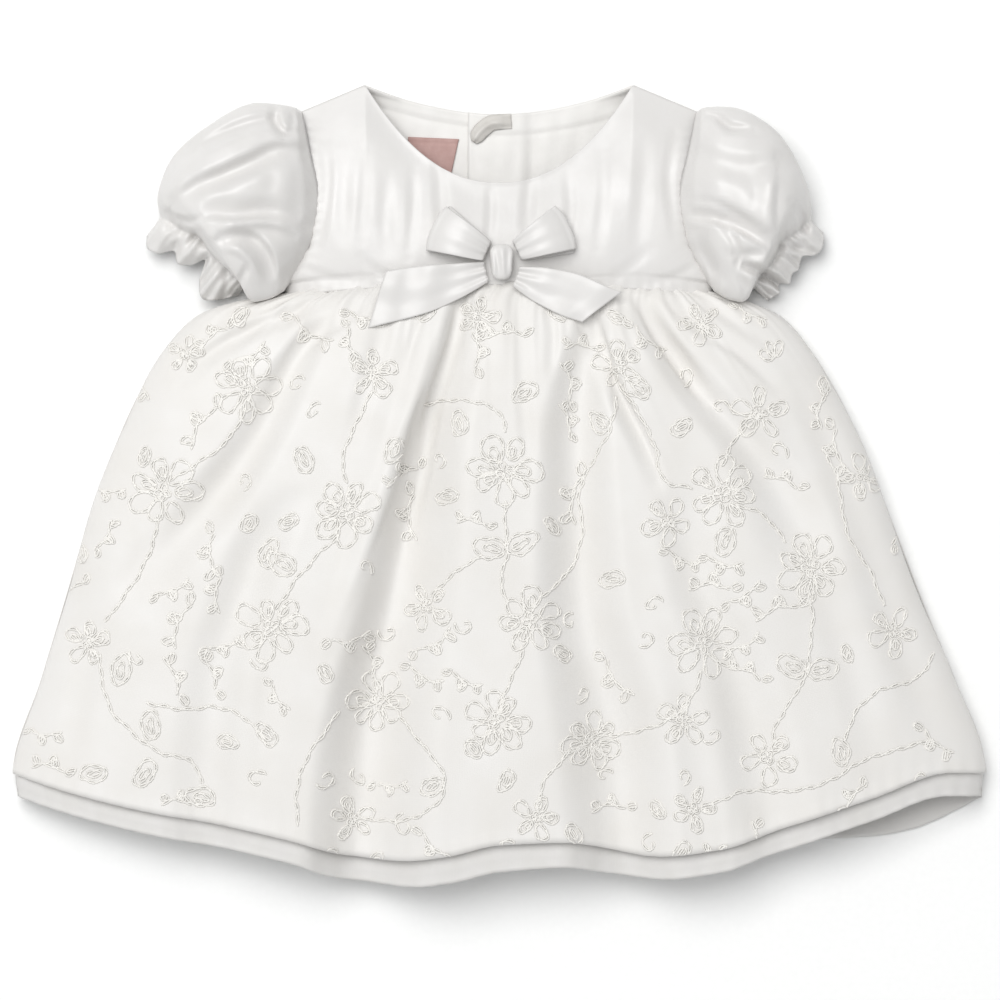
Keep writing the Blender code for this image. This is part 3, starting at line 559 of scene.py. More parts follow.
@dataclass
class Surface:
    """The finished front seen from above, for what lies on it."""

    pieces: list[Piece]
    tree: BVHTree = field(init=False)

    def __post_init__(self) -> None:
        """Gather the pieces' faces into one tree."""
        points, faces, start = [], [], 0
        for piece in self.pieces:
            places = points_of(piece)
            points.append(places)
            faces += [tuple(i + start for i in p.vertices) for p in piece.data.polygons]
            start += len(places)
        self.tree = BVHTree.FromPolygons([Vector(p) for p in np.vstack(points)], faces)

    def below(self, x: float, y: float) -> Optional[tuple[Array, Array]]:
        """Top point and its normal under a plan place, or None past the edge."""
        place, normal, _, _ = self.tree.ray_cast(Vector((x, y, 100.0)), Vector((0, 0, -1)))
        if place is None:
            return None
        return np.array(place), np.array(normal)

    def highest(self, x: Array, y: Array, reach: float) -> Array:
        """Highest top within reach of each plan place, in mm."""
        found = np.zeros(np.shape(x))
        turns = np.linspace(0, math.tau, 8, endpoint=False)
        ring = [(r * math.cos(a), r * math.sin(a)) for r, a in product((reach / 2, reach), turns)]
        ring.append((0.0, 0.0))
        for index in np.ndindex(found.shape):
            hits = [self.below(x[index] + dx, y[index] + dy) for dx, dy in ring]
            found[index] = max(hit[0][2] for hit in hits if hit)
        return found


# Plan outline of the skirt, as in the solids. Its sides: y, left, right
SKIRT_SIDES = (
    (-156, -231.5, 232.8), (-138.5, -233.5, 233.5), (-93, -219.8, 218.4), (-54.7, -208.3, 203),
    (-16.3, -196.8, 188.2), (22, -182.9, 173.3), (50.9, -169, 158.4), (70, -156, 145.5),
    (79.7, -146, 136.3), (84, -137, 128.5), (87.4, -122, 118), (89.5, -WAIST_HALF, WAIST_HALF),
)
# Its hems: x, y
FRONT_HEM = (
    (-233.5, -138.5), (-203, -147.4), (-169, -155.5), (-128, -162.7), (-96.5, -169.9), (-72.5, -177),
    (-48.5, -179.2), (-24.5, -176.6), (0, -171.2), (30, -170), (74, -176.8), (105, -173.5), (135, -163.7),
    (178, -149.4), (215, -137.8), (233.5, -138.5),
)
BACK_LINING_HEM = (
    (-233.5, -149.8), (-200, -154), (-160, -160), (-100, -169), (0, -173), (100, -173), (150, -171),
    (180, -169.4), (200, -165.6), (221, -156.5), (233.5, -149.8),
)
HEM_HALF, HEM_SIDE_Y = FRONT_HEM[-1]
# Large folds, as in the solids: rows of y, x, half width to the left, half width to the right, depth
SKIRT_FOLDS = (
    ((-185, -67, 28, 38, 17), (-122, -63, 25, 38, 19), (-54.7, -50.5, 19, 33, 18.5),
     (22, -36.5, 12, 25, 13.5), (51, -26, 9, 18, 9), (78, -20.5, 7, 12, 5), (93, -19, 7, 10, 0)),
    ((-185, 60, 30, 30, 12), (-122, 54, 30, 30, 14), (-54.7, 39, 24, 24, 14), (22, 36.5, 19, 19, 10.5),
     (51, 39, 15, 15, 7.5), (76, 44.6, 11, 11, 3.5), (93, 47, 10, 10, 0)),
    ((-54.7, -172, 24, 24, 0), (-16.3, -143.5, 22, 22, 7), (22, -114.7, 17, 17, 8),
     (51, -100.3, 14, 14, 6.5), (75, -86, 11, 11, 3), (90, -80, 10, 10, 0)),
    ((-175, -140, 22, 22, 4), (-93, -133.9, 20, 20, 5), (-35, -115, 18, 18, 5), (0, -98, 16, 16, 0)),
    ((-45, 147, 26, 26, 0), (-20, 140, 24, 24, 5), (13.4, 121.9, 19, 19, 7), (50, 91, 15, 15, 6.5),
     (80, 69.6, 11, 11, 2.5), (92, 63, 10, 10, 0)),
    ((-175, 134, 24, 24, 5), (-93, 113, 22, 22, 6), (-40, 93, 18, 18, 5), (0, 86, 16, 16, 0)),
    ((-130, 212, 15, 15, 0), (-70, 190, 15, 15, 4), (10, 162, 14, 14, 4), (55, 142, 12, 12, 0)),
)
BODICE_FOLDS = (
    ((112, -74, 5, 5, 0), (135, -74, 6, 6, 1.6), (160, -73, 5, 5, 0)),
    ((106, -53, 5, 5, 0), (128, -54, 6, 6, 1.5), (152, -53, 5, 5, 0)),
    ((118, -27, 5, 5, 0), (138, -28, 5.5, 5.5, 1.8), (150, -29, 5, 5, 1)),
    ((116, 13, 5, 5, 0), (134, 14, 5.5, 5.5, 1.8), (148, 15, 5, 5, 1)),
    ((108, 66, 6, 6, 0), (136, 68, 7, 7, 1.6), (170, 70, 6, 6, 0)),
)


def fold_depth(folds: tuple, x: Array, y: Array) -> Array:
    """Depth of all the folds in a table at plan places."""
    depth = np.zeros(np.shape(x))
    for rows in folds:
        off = x - through(rows, 1, y)
        half = np.where(off < 0, through(rows, 2, y), through(rows, 3, y))
        q = unit(np.abs(off) / half)
        depth = depth + through(rows, 4, y) * (1 + np.cos(math.pi * q)) / 2
    return depth


def dome(s: Array, roundness: float = 2.4) -> Array:
    """Height share of a lofted panel, 1 at its middle and 0 at its side seams."""
    return np.maximum(0.0, 1 - np.abs(s) ** roundness) ** (1 / roundness)


def inside(s: Array) -> Array:
    """Share that is 1 over most of the front and falls to 0 at its side seams."""
    return 1 - s**8


def rounded(share: Array) -> Array:
    """Rise of a quarter circle, slow at first and steep at its end."""
    return 1 - np.sqrt(np.maximum(0.0, 1 - unit(share) ** 2))


def waist_y(s: Array) -> Array:
    """Plan Y of the waist seam across the dress."""
    return WAIST_END_Y + WAIST_RISE * (1 - s * s)


def spread(t: Array) -> Array:
    """Columns set closer together towards both side seams."""
    return 0.55 * t + 0.45 * np.sin(t * math.pi / 2)


def normal(form: Form, t: Array, v: Array, end: float = 1.0) -> Array:
    """Unit normal of a form that faces up, from its own small steps."""
    step = NORMAL_STEP
    t0, t1 = np.clip(t - step, -1, 1), np.clip(t + step, -1, 1)
    v0, v1 = np.maximum(v - step, 0), np.minimum(v + step, end)
    across = direction(np.cross(form(t1, v) - form(t0, v), form(t, v1) - form(t, v0)))
    return across * np.where(across[..., 2:] < 0, -1.0, 1.0)


# Creases: plan line, half width, depth and lean
SKIRT_CREASES = pressed(
    (((-23, 92), (-31, 70), (-41, 40), (-51, 4), (-65, -34), (-80, -76)), 9, -2.4, 0.6),
    (((-17, 91), (-22, 70), (-32, 38), (-38, 4), (-46, -30)), 7, 3, -0.6),
    (((46, 78), (51, 62), (58, 44), (69, 22), (76, 4)), 10, 5.5, 0.85),
    (((64, 90), (75, 71), (86, 56), (98, 39)), 9, 3.6, -0.7),
    (((-80, 92), (-93, 85), (-116, 76), (-136, 65), (-150, 52)), 9, 3.6, -0.7),
    (((-62, 90), (-74, 78), (-92, 66), (-104, 50)), 9, 2, 0.5),
    (((-48, 92), (-54, 74), (-62, 48), (-70, 20)), 7, 1.6),
    (((-34, 92), (-38, 76), (-44, 56)), 5, 1.4, 0.4), (((-6, 93), (-8, 74), (-14, 48)), 5, 1.2),
    (((8, 93), (11, 72), (12, 36), (16, 0)), 6, 1.2), (((22, 92), (26, 74), (25, 52)), 5, 1.3, 0.4),
    (((34, 92), (38, 80), (42, 66)), 4, 1.4), (((78, 89), (94, 74), (114, 62), (134, 44)), 7, 1.8, -0.5),
    (((92, 88), (112, 78), (132, 62)), 5, 1.2), (((-94, 90), (-112, 84), (-134, 76)), 5, 1.3),
    (((-150, 30), (-165, -10), (-180, -60)), 12, 1.6), (((-20, 20), (-24, -40), (-26, -100)), 12, 0.8),
    (((84, -60), (92, -110), (98, -168)), 14, 1.8), (((-104, -60), (-112, -110), (-118, -160)), 13, 1.4),
    (((150, -40), (168, -90), (180, -140)), 13, 1.6), (((-190, -70), (-200, -100), (-206, -140)), 10, 1.4),
)


@dataclass
class Skirt:
    """The gathered lace skirt over its longer satin lining, front and back."""

    loft: float = 38.0
    gathers: int = 20
    gather_depth: float = 1.5
    fine_gathers: int = 47
    lining_shows: float = 11.3
    hem_row: float = 1.1
    hem_turn: float = 6.0
    tuck: float = 1.3
    length: float = 250.0
    lining_stitch: float = 3.4
    lining_side_gap: float = 1.2
    lining_loft_from: float = 0.9
    creases: tuple = SKIRT_CREASES

    def outline(self, y_side: Array) -> tuple[Array, Array]:
        """Centre and half width where the side seams are at this height."""
        left, right = through(SKIRT_SIDES, 1, y_side), through(SKIRT_SIDES, 2, y_side)
        return (left + right) / 2, (right - left) / 2

    def place(self, u: Array, v: Array) -> tuple[Array, Array, Array]:
        """Plan place of a point of the front, and its share s of the half width."""
        centre, half = self.outline(mix(WAIST_END_Y - SEAM_GAP, HEM_SIDE_Y, v))
        fan = 1 + 5 * np.exp(-v / 0.15)
        x = WAIST_HALF * u + (half - WAIST_HALF) * np.sign(u) * np.abs(u) ** fan
        s = np.clip(x / half, -1, 1)
        y = mix(waist_y(s) - SEAM_GAP, through(FRONT_HEM, 1, s * HEM_HALF), v)
        return centre + x, y, s

    def base(self, t: Array, v: Array) -> Array:
        """The lace front with its large folds alone, as the solid has it."""
        x, y, s = self.place(spread(t), v)
        loft = WAIST_HEIGHT + (self.loft - WAIST_HEIGHT) * (1 - np.exp(-v / 0.1))
        z = SIDE_SEAM_Z + (loft - SIDE_SEAM_Z) * dome(s)
        z -= fold_depth(SKIRT_FOLDS, x, y) * inside(s)
        return stacked(x, y, z)

    def gather_height(self, t: Array, v: Array) -> Array:
        """Height of the waist gathers: the solid's twenty and finer uneven ones between them."""
        size = 0.68 + 0.32 * np.sin(9 * t + 1) * np.sin(23 * t)
        wave = (1 - np.cos(math.pi * self.gathers * (t + 1))) / 2
        fade = np.exp(-v / 0.09) * unit((0.16 - v) / 0.05)
        height = self.gather_depth * size * wave * fade
        wander = t + 0.012 * np.sin(31 * t + 2) + 0.006 * np.sin(67 * t)
        reach = 0.05 + 0.05 * (1 + np.sin(17 * t + 0.7)) * (1 + np.sin(29 * t)) / 2
        fine = (1 - np.cos(math.pi * self.fine_gathers * (wander + 1))) / 2
        return height + 0.85 * fine * np.exp(-v / reach) * (0.5 + 0.5 * np.sin(13 * t + 2) ** 2)

    def hem_relief(self, x: Array, v: Array) -> Array:
        """Height of the turned hem of the lace, with the dip of its stitching."""
        up = (1 - v) * self.length
        turned = 0.45 * smooth((self.hem_turn + 0.8 - up) / 1.2)
        stitch = 0.35 * bell((up - self.hem_turn) / 0.7)
        return turned - stitch + 0.16 * pucker(x, 7.5, 1.3, 23) * np.exp(-up / 9)

    def front(self, t: Array, v: Array) -> Array:
        """Outer surface of the lace front with all its gathers, creases and its hem."""
        base = self.base(t, v)
        x, y = base[..., 0], base[..., 1]
        s = np.clip(x / HEM_HALF, -1, 1)
        height = self.gather_height(t, v) - crease_depth(self.creases, x, y) * inside(s)
        height += 0.7 * undulation(x, y * 0.5, 40.0, 4) * smooth(v / 0.2)
        height += self.hem_relief(x, v)
        placed = base + normal(self.base, t, v) * height[..., None]
        tucked = unit(1 - v / 0.008) * inside(s)
        return placed + tucked[..., None] * np.array([0.0, self.tuck, -self.tuck])

    def lining_base(self, t: Array, v: Array) -> Array:
        """The front's large form, carried on below the lace hem to the lining's own hem."""
        x, _, s = self.place(spread(t), np.minimum(v, 1.0))
        length = waist_y(s) - through(FRONT_HEM, 1, s * HEM_HALF)
        drop = self.lining_shows + 2 * bell((x + 15) / 45)
        beyond = np.maximum(v - 1, 0) / (self.hem_row - 1)
        x, y, s = self.place(spread(t), np.minimum(v, 1.0) + beyond * drop / length)
        folds = fold_depth(SKIRT_FOLDS, x, y) * inside(s)
        even = SIDE_SEAM_Z + (self.loft - SIDE_SEAM_Z) * dome(s)
        z = np.where(v > self.lining_loft_from, even, self.base(t, np.minimum(v, 1.0))[..., 2] + folds)
        return stacked(x, y, z - folds)

    def lining_front(self, t: Array, v: Array) -> Array:
        """Outer surface of the satin lining under the lace front."""
        base = self.lining_base(t, v)
        x = base[..., 0]
        s = np.clip(x / HEM_HALF, -1, 1)
        depth = WALL + SEAM_GAP + 1.8 * unit(v / 0.05) + 0.8 * unit((v - 0.1) / 0.5)
        depth = mix(depth, self.lining_side_gap, s**8 * smooth((v - 0.7) / 0.2))
        depth += crease_depth(self.creases, x, base[..., 1]) * inside(s)
        up = (self.hem_row - v) / (self.hem_row - 1) * self.lining_shows
        waves = 0.28 * pucker(x, 9.0, 1.8, 31) * np.exp(-np.maximum(up, 0) / 6)
        stitch = 0.3 * bell((up - self.lining_stitch) / 0.6)
        uneven = undulation(x, base[..., 1], 26.0, 12) * (v > self.lining_loft_from)
        height = -depth + waves - stitch + 0.3 * uneven
        return base + normal(self.lining_base, t, v, self.hem_row) * height[..., None]

    def back(self, inset: float) -> Form:
        """A back panel's form: flat on the surface, its edges rising to the side seams."""
        rise = SIDE_SEAM_Z - SEAM_GAP

        def surface(t: Array, v: Array) -> Array:
            beyond = np.maximum(v - 1, 0) / (self.hem_row - 1)
            y_side = mix(WAIST_END_Y - SEAM_GAP, HEM_SIDE_Y, np.minimum(v, 1.0))
            centre, half = self.outline(y_side - beyond * self.lining_shows)
            flat = half - rise
            along = spread(t) * (flat + rise * math.pi / 2)
            turn = np.clip((np.abs(along) - flat) / rise, 0, math.pi / 2)
            x = np.sign(t) * (np.minimum(np.abs(along), flat) + (rise - inset) * np.sin(turn))
            z = rise - (rise - inset) * np.cos(turn)
            s = np.clip(x / half, -1, 1)
            hem_y = through(BACK_LINING_HEM, 1, s * HEM_HALF) + self.lining_shows
            y = mix(waist_y(s) - SEAM_GAP, hem_y, np.minimum(v, 1.0)) - beyond * self.lining_shows
            return stacked(centre + x, y, z)

        return surface

    def lining_back(self, t: Array, v: Array) -> Array:
        """Outer surface of the back lining, with the pucker of its hem."""
        placed = self.back(WALL + SEAM_GAP)(t, v)
        up = (self.hem_row - v) / (self.hem_row - 1) * self.lining_shows
        ripple = 0.3 * (1 + np.sin(placed[..., 0] * math.tau / 11)) * np.exp(-np.maximum(up, 0) / 6)
        placed[..., 2] += ripple
        return placed

    def build(self) -> dict[str, Piece]:
        """Make the four panels and tie them to the dress."""
        hem, down = self.hem_row, Outward.DOWN
        lace = Sheet("lace_skirt_front", self.front, 290, 115, (590, 268), crowd=1.35)
        lining = Sheet("satin_lining_front", self.lining_front, 200, 80, (540, 279), hem)
        back = Sheet("lace_skirt_back", self.back(0.0), 90, 60, (480, 256), crowd=1.2, outward=down)
        back_lining = Sheet("satin_lining_back", self.lining_back, 160, 70, (480, 267), hem, outward=down)
        return {
            "lace": ride(lace.build(ORGANZA), Slot.LACE, "skirt_front"),
            "lining": ride(lining.build(LINING_SATIN), Slot.LINING, "lining_front"),
            "back": ride(back.build(ORGANZA), Slot.LACE, "skirt_back"),
            "back_lining": ride(back_lining.build(LINING_SATIN), Slot.LINING, "lining_back"),
        }


SHOULDER_END = (96.0, 178.3)
NECK_POINT = (64.3, 191.6)
UNDERARM_Y = 96.0
NECK_SHARE = 9 / 14
# Armhole edge: share from the shoulder to the underarm, x
ARMHOLE = ((0, 96), (0.25, 91.6), (0.5, 87.3), (0.74, 90), (0.9, 96.6), (1, 103.5))
# Creases: plan line, half width and depth
BODICE_CREASES = pressed(
    (((-63, 160), (-64, 140), (-66, 116)), 4.5, 0.7), (((-41, 150), (-41, 130), (-43, 108)), 4.5, 0.8),
    (((-4, 143), (-4, 130), (-5, 116)), 4, 0.9), (((33, 148), (34, 130), (31, 114)), 4.5, 0.8),
    (((50, 160), (50, 138), (47, 112)), 5, 0.7), (((84, 168), (81, 146), (84, 118)), 4.5, 0.9),
    (((-84, 164), (-82, 140), (-88, 108)), 5, 1), (((-94, 104), (-80, 98), (-66, 97)), 4, 0.8),
    (((-66, 108), (-56, 100), (-44, 97)), 4, 0.6), (((96, 106), (84, 99), (70, 96)), 4, 0.8),
    (((72, 112), (60, 102), (52, 97)), 5, 0.6),
)


@dataclass
class Bodice:
    """The satin bodice: its front and the two halves of its back that lap at the placket."""

    front_neck_y: float = 144.0
    back_neck_y: float = 178.0
    shoulder_z: float = 9.0
    back_shoulder_z: float = 7.4
    neck_z: float = 19.0
    armhole_lift: float = 12.0
    upper_edge_x: float = -15.4
    lower_edge_x: float = 9.0
    neck_turn: float = 5.5
    placket_turn: float = 9.0
    fold_share: float = 0.6
    lap_climb: float = 6.5
    side_length: float = 96.0
    back_length: float = 80.0
    neck_length: float = 60.0
    creases: tuple = BODICE_CREASES

    def place(self, u: Array, w: Array, low: float, power: float) -> tuple[Array, Array, Array]:
        """Plan place on the bodice, u across and w from the waist up, and its armhole height."""
        beyond = unit((np.abs(u) - NECK_SHARE) / (1 - NECK_SHARE))
        neck_x = NECK_POINT[0] * unit(np.abs(u) / NECK_SHARE)
        top_x = mix(neck_x, SHOULDER_END[0], beyond)
        neck = mix(low, NECK_POINT[1], unit(neck_x / NECK_POINT[0]) ** power)
        top_y = mix(neck, SHOULDER_END[1], beyond)
        y = mix(waist_y(u), top_y, w)
        edge_y = mix(WAIST_END_Y, SHOULDER_END[1], w)
        edge_x = np.where(
            edge_y < UNDERARM_Y,
            mix(WAIST_HALF, ARMHOLE[-1][1], (edge_y - WAIST_END_Y) / (UNDERARM_Y - WAIST_END_Y)),
            through(ARMHOLE, 1, self.armhole_share(edge_y)),
        )
        pull = edge_x - mix(WAIST_HALF, SHOULDER_END[0], w)
        x = mix(WAIST_HALF * np.abs(u), top_x, w) + pull * np.abs(u) ** 4
        return np.sign(u) * x, y, edge_y

    def armhole_share(self, y: Array) -> Array:
        """How far down the armhole a height is."""
        return unit((SHOULDER_END[1] - y) / (SHOULDER_END[1] - UNDERARM_Y))

    def ring(self, share: Array) -> Array:
        """Roundness of the armhole, 0 at both ends and 1 half way."""
        return np.sqrt(np.maximum(0.0, 4 * share * (1 - share)))

    def base(self, u: Array, w: Array) -> Array:
        """The front with its large folds alone, as the solid has it."""
        x, y, edge_y = self.place(u, w, self.front_neck_y, 2.2)
        share = self.armhole_share(edge_y)
        over = mix(self.shoulder_z, SIDE_SEAM_Z, share) + self.armhole_lift * self.ring(share) ** 0.8
        edge = np.where(edge_y < UNDERARM_Y, SIDE_SEAM_Z, over)
        middle = WAIST_HEIGHT + 2 * np.sin(math.pi * w) - 4 * w * w
        section = edge + (middle - edge) * dome(u)
        neck = mix(self.neck_z, self.shoulder_z, unit(np.abs(u) / NECK_SHARE) ** 2)
        z = mix(section, neck, w**3) - self.fold_share * fold_depth(BODICE_FOLDS, x, y)
        return stacked(x, y, z)

    def front(self, t: Array, v: Array) -> Array:
        """Outer surface of the front: v runs from the neck down to the waist seam."""
        w = 1 - v
        base = self.base(t, w)
        x, y = base[..., 0], base[..., 1]
        height = -crease_depth(self.creases, x, y)
        height += 0.3 * undulation(x, y * 0.45, 17.0, 21) * smooth((1 - w) / 0.25)
        from_edge = (1 - np.abs(t)) * self.side_length
        stitch = pucker(y, 5.2, 1.0, 7) * np.exp(-from_edge / 3.2)
        height += 0.35 * stitch * smooth((w - 0.08) / 0.1) * smooth((0.97 - w) / 0.1)
        height += 0.14 * pucker(x, 6.2, 1.5, 13) * np.exp(-w / 0.06)
        height += 0.25 * bell((1 - w) * self.neck_length / 1.6) * (np.abs(t) < NECK_SHARE)
        return base + normal(self.base, t, w) * height[..., None]

    def back_base(self, u: Array, w: Array) -> Array:
        """Outer surface of the whole back, flat but for its side, armhole and shoulder edges."""
        x, y, edge_y = self.place(u, w, self.back_neck_y, 1.8)
        share = self.armhole_share(edge_y)
        low = mix(self.back_shoulder_z, SIDE_SEAM_Z - SEAM_GAP, share)
        side = np.where(edge_y < UNDERARM_Y, SIDE_SEAM_Z - SEAM_GAP, low * (1 - self.ring(share) ** 0.6))

        at_side = side / self.back_shoulder_z * rounded((np.abs(u) - 0.93) / 0.07)
        shoulder = np.clip((np.abs(u) - 0.45) / (NECK_SHARE - 0.45), 0.06, 1)
        at_top = shoulder * rounded((w - 0.9) / 0.1)
        z = self.back_shoulder_z * (1 - (1 - at_side) * (1 - at_top))
        return stacked(x, y, z)

    def back_half(self, u_from: float, u_to: float, step_at: Optional[float]) -> Form:
        """One half of the back. The upper half climbs onto the lower one past step_at in X."""

        def surface(t: Array, v: Array) -> Array:
            w = 1 - v
            points = self.back_base(mix(u_from, u_to, (t + 1) / 2), w)
            if step_at is not None:
                points[..., 2] += PLACKET_STEP * smooth((step_at - points[..., 0]) / 5.0)
            from_neck = (1 - w) * self.back_length
            turn = self.neck_turn if step_at is None else self.placket_turn
            facing = 0.4 * smooth((turn + 0.6 - from_neck) / 1.2)
            stitch = 0.25 * bell((from_neck - turn - 0.8) / 0.8)
            uneven = undulation(points[..., 0], points[..., 1], 15, 31)
            points[..., 2] += facing - stitch + 0.25 * (1 + uneven)
            return points

        return surface

    def build(self) -> dict[str, Piece]:
        """Make the three panels and tie them to the dress."""
        front = Sheet("satin_bodice_front", self.front, 210, 100, (214, 104))
        made = {"front": ride(front.build(SATIN), Slot.SATIN, "bodice_front")}
        halves = {
            "left": self.back_half(-1.0, self.lower_edge_x / WAIST_HALF, None),
            "right": self.back_half(self.upper_edge_x / WAIST_HALF, 1.0, self.lower_edge_x + self.lap_climb),
        }
        for side, form in halves.items():
            name = f"satin_bodice_back_{side}"
            sheet = Sheet(name, form, 70, 70, (120, 100), outward=Outward.DOWN, thickness=WALL)
            # The back halves take the satin painted lighter, as painted light over the shade inside the
            # back.
            made[side] = ride(sheet.build(BACK_SATIN_PAINTED_LIGHT), Slot.SATIN, f"bodice_back_{side}")
        return made


# Sleeve rings, as in the solids: v, upper x, upper y, lower x, lower y, inset, top
SLEEVE_RINGS = {
    "left": (
        (0, 96, 179.6, 103.5, 95, 0, 20), (0.06, 101, 181, 106, 93.6, 2, 30),
        (0.2, 115.7, 181.6, 111, 91.4, 6, 38.5), (0.42, 141, 169, 116, 90.2, 1, 42.6),
        (0.62, 158.6, 152, 119, 90.6, 0, 40), (0.76, 163.8, 136, 121, 92, 2, 32),
        (0.86, 162.5, 127.6, 122.5, 94.4, 2, 20),
    ),
    "right": (
        (0, 96, 179.6, 103.5, 95, 0, 20), (0.06, 100.5, 180.4, 106, 93.6, 2, 29.5),
        (0.2, 112, 179.5, 110.5, 91.4, 6, 37.5), (0.42, 131, 169.5, 115, 90.2, 2, 42),
        (0.62, 144.2, 150.5, 118.5, 90.6, 0, 39), (0.76, 149.5, 135.5, 120.5, 92, 2, 31),
        (0.86, 150, 126, 122.5, 94, 2, 20),
    ),
}
# Frill: share of the way from the cuff's upper end to its lower end, length of the frill there
FRILL_LENGTHS = {
    "left": (
        (0, 11), (0.1, 16.5), (0.2, 15.5), (0.29, 11), (0.4, 16), (0.5, 11.5), (0.57, 4), (0.65, 13.5),
        (0.78, 18.5), (0.88, 14.5), (1, 5),
    ),
    "right": (
        (0, 8), (0.1, 12.5), (0.24, 14.5), (0.38, 12), (0.5, 13.8), (0.6, 11.5), (0.7, 13.5), (0.77, 9.5),
        (0.86, 12), (1, 9),
    ),
}
# Creases: plan line, half width, depth and lean
SLEEVE_CREASES = {
    "left": pressed(
        (((-93, 158), (-106, 158.5), (-117, 153), (-131, 146.5), (-142, 142), (-154, 134)), 10, 7, -0.55),
        (((-92, 122), (-100, 129), (-109, 134.5), (-122, 136), (-136, 134.5), (-150, 131)), 9, 1.2, 0.2),
        (((-94, 122), (-102, 126), (-112, 127.5), (-124, 127), (-134, 128), (-143, 127)), 10.5, 6.4, 0.7),
        (((-143, 160), (-130, 167.5), (-116, 172.5), (-104, 173.5)), 7, 3.6, 0.5),
        (((-122, 119), (-108, 119.5), (-96, 114)), 7, 2.4, 0.3),
        (((-91, 104), (-91.5, 115), (-98, 123), (-110, 125.8), (-124, 124), (-135, 118.5)), 4.5, -3),
        (((-131, 117), (-122, 118), (-114.5, 115), (-109.5, 108), (-107, 95)), 7.5, 5.2, 0.6),
        (((-131, 112), (-124, 111), (-118, 106), (-114, 98)), 3.8, -2.4),
        (((-106, 181), (-106.5, 173), (-102, 167), (-95, 168)), 4.5, 4.4, 0.3),
        (((-100, 178), (-98, 173), (-100, 168)), 3, 2), (((-102, 156), (-107, 147), (-104, 138)), 8, 1.8),
        (((-148, 160), (-158, 148), (-162, 138)), 7, 1.8, -0.4),
        (((-162, 133), (-155, 127.5), (-148, 125), (-141, 126)), 4, 4.4, 0.5),
        (((-145, 124), (-141, 117), (-135, 110), (-130, 104)), 3.6, 2.8, -0.4),
        (((-104, 94), (-98, 102), (-91, 110)), 5, 2.2), (((-150, 110), (-147, 116), (-143, 121)), 2.6, 3.4),
        (((-162, 111), (-158, 117), (-152, 122)), 2.8, 2.6),
        (((-146, 93), (-139, 100), (-134, 106)), 3.4, 4), (((-134, 87), (-131, 95), (-129, 102)), 2.6, 2.6),
        (((-124, 92), (-122, 98), (-119, 103)), 3, 2.4),
    ),
    "right": pressed(
        (((86, 128.5), (97, 127), (108, 124.5), (119, 119), (131, 111)), 8, 7.4, -0.6),
        (((92, 135), (101, 133.5), (110, 129.5), (122, 122)), 3.6, 2.4, -0.4),
        (((130, 152), (129, 142), (128, 130), (129, 118)), 9, -3.2, 0.7),
        (((93, 158), (105, 152), (119, 150), (134, 152), (144, 146)), 11, 3.4, 0.3),
        (((97, 176), (104, 175.5), (110, 170), (121, 169)), 4.5, 3.8, 0.4),
        (((114, 146), (122, 140), (128, 132)), 8, 1.8),
        (((88, 126), (91, 114), (97, 102), (106, 93)), 5, -2.6), (((94, 120), (97, 109), (104, 98)), 6, 3),
        (((106, 123), (111, 117), (114, 109)), 4.4, 2.6, 0.4),
        (((109, 109), (117, 108), (127, 109.5)), 5, 3, -0.3),
        (((114, 105), (121, 102.5), (129, 99), (140, 93.5)), 4.6, 9, 0.3),
        (((139, 134), (146, 126), (146, 118)), 4, 3.6), (((134, 115), (141, 113), (149, 116)), 3.6, 3.4),
        (((147, 102), (142, 107), (136, 110)), 3.4, 3.4), (((155, 110), (149, 112), (143, 113)), 2.6, 2.4),
        (((131, 85), (127, 92), (123, 97)), 3.4, 3.4), (((118, 88), (117, 94), (113, 100)), 4, 2.2),
    ),
}


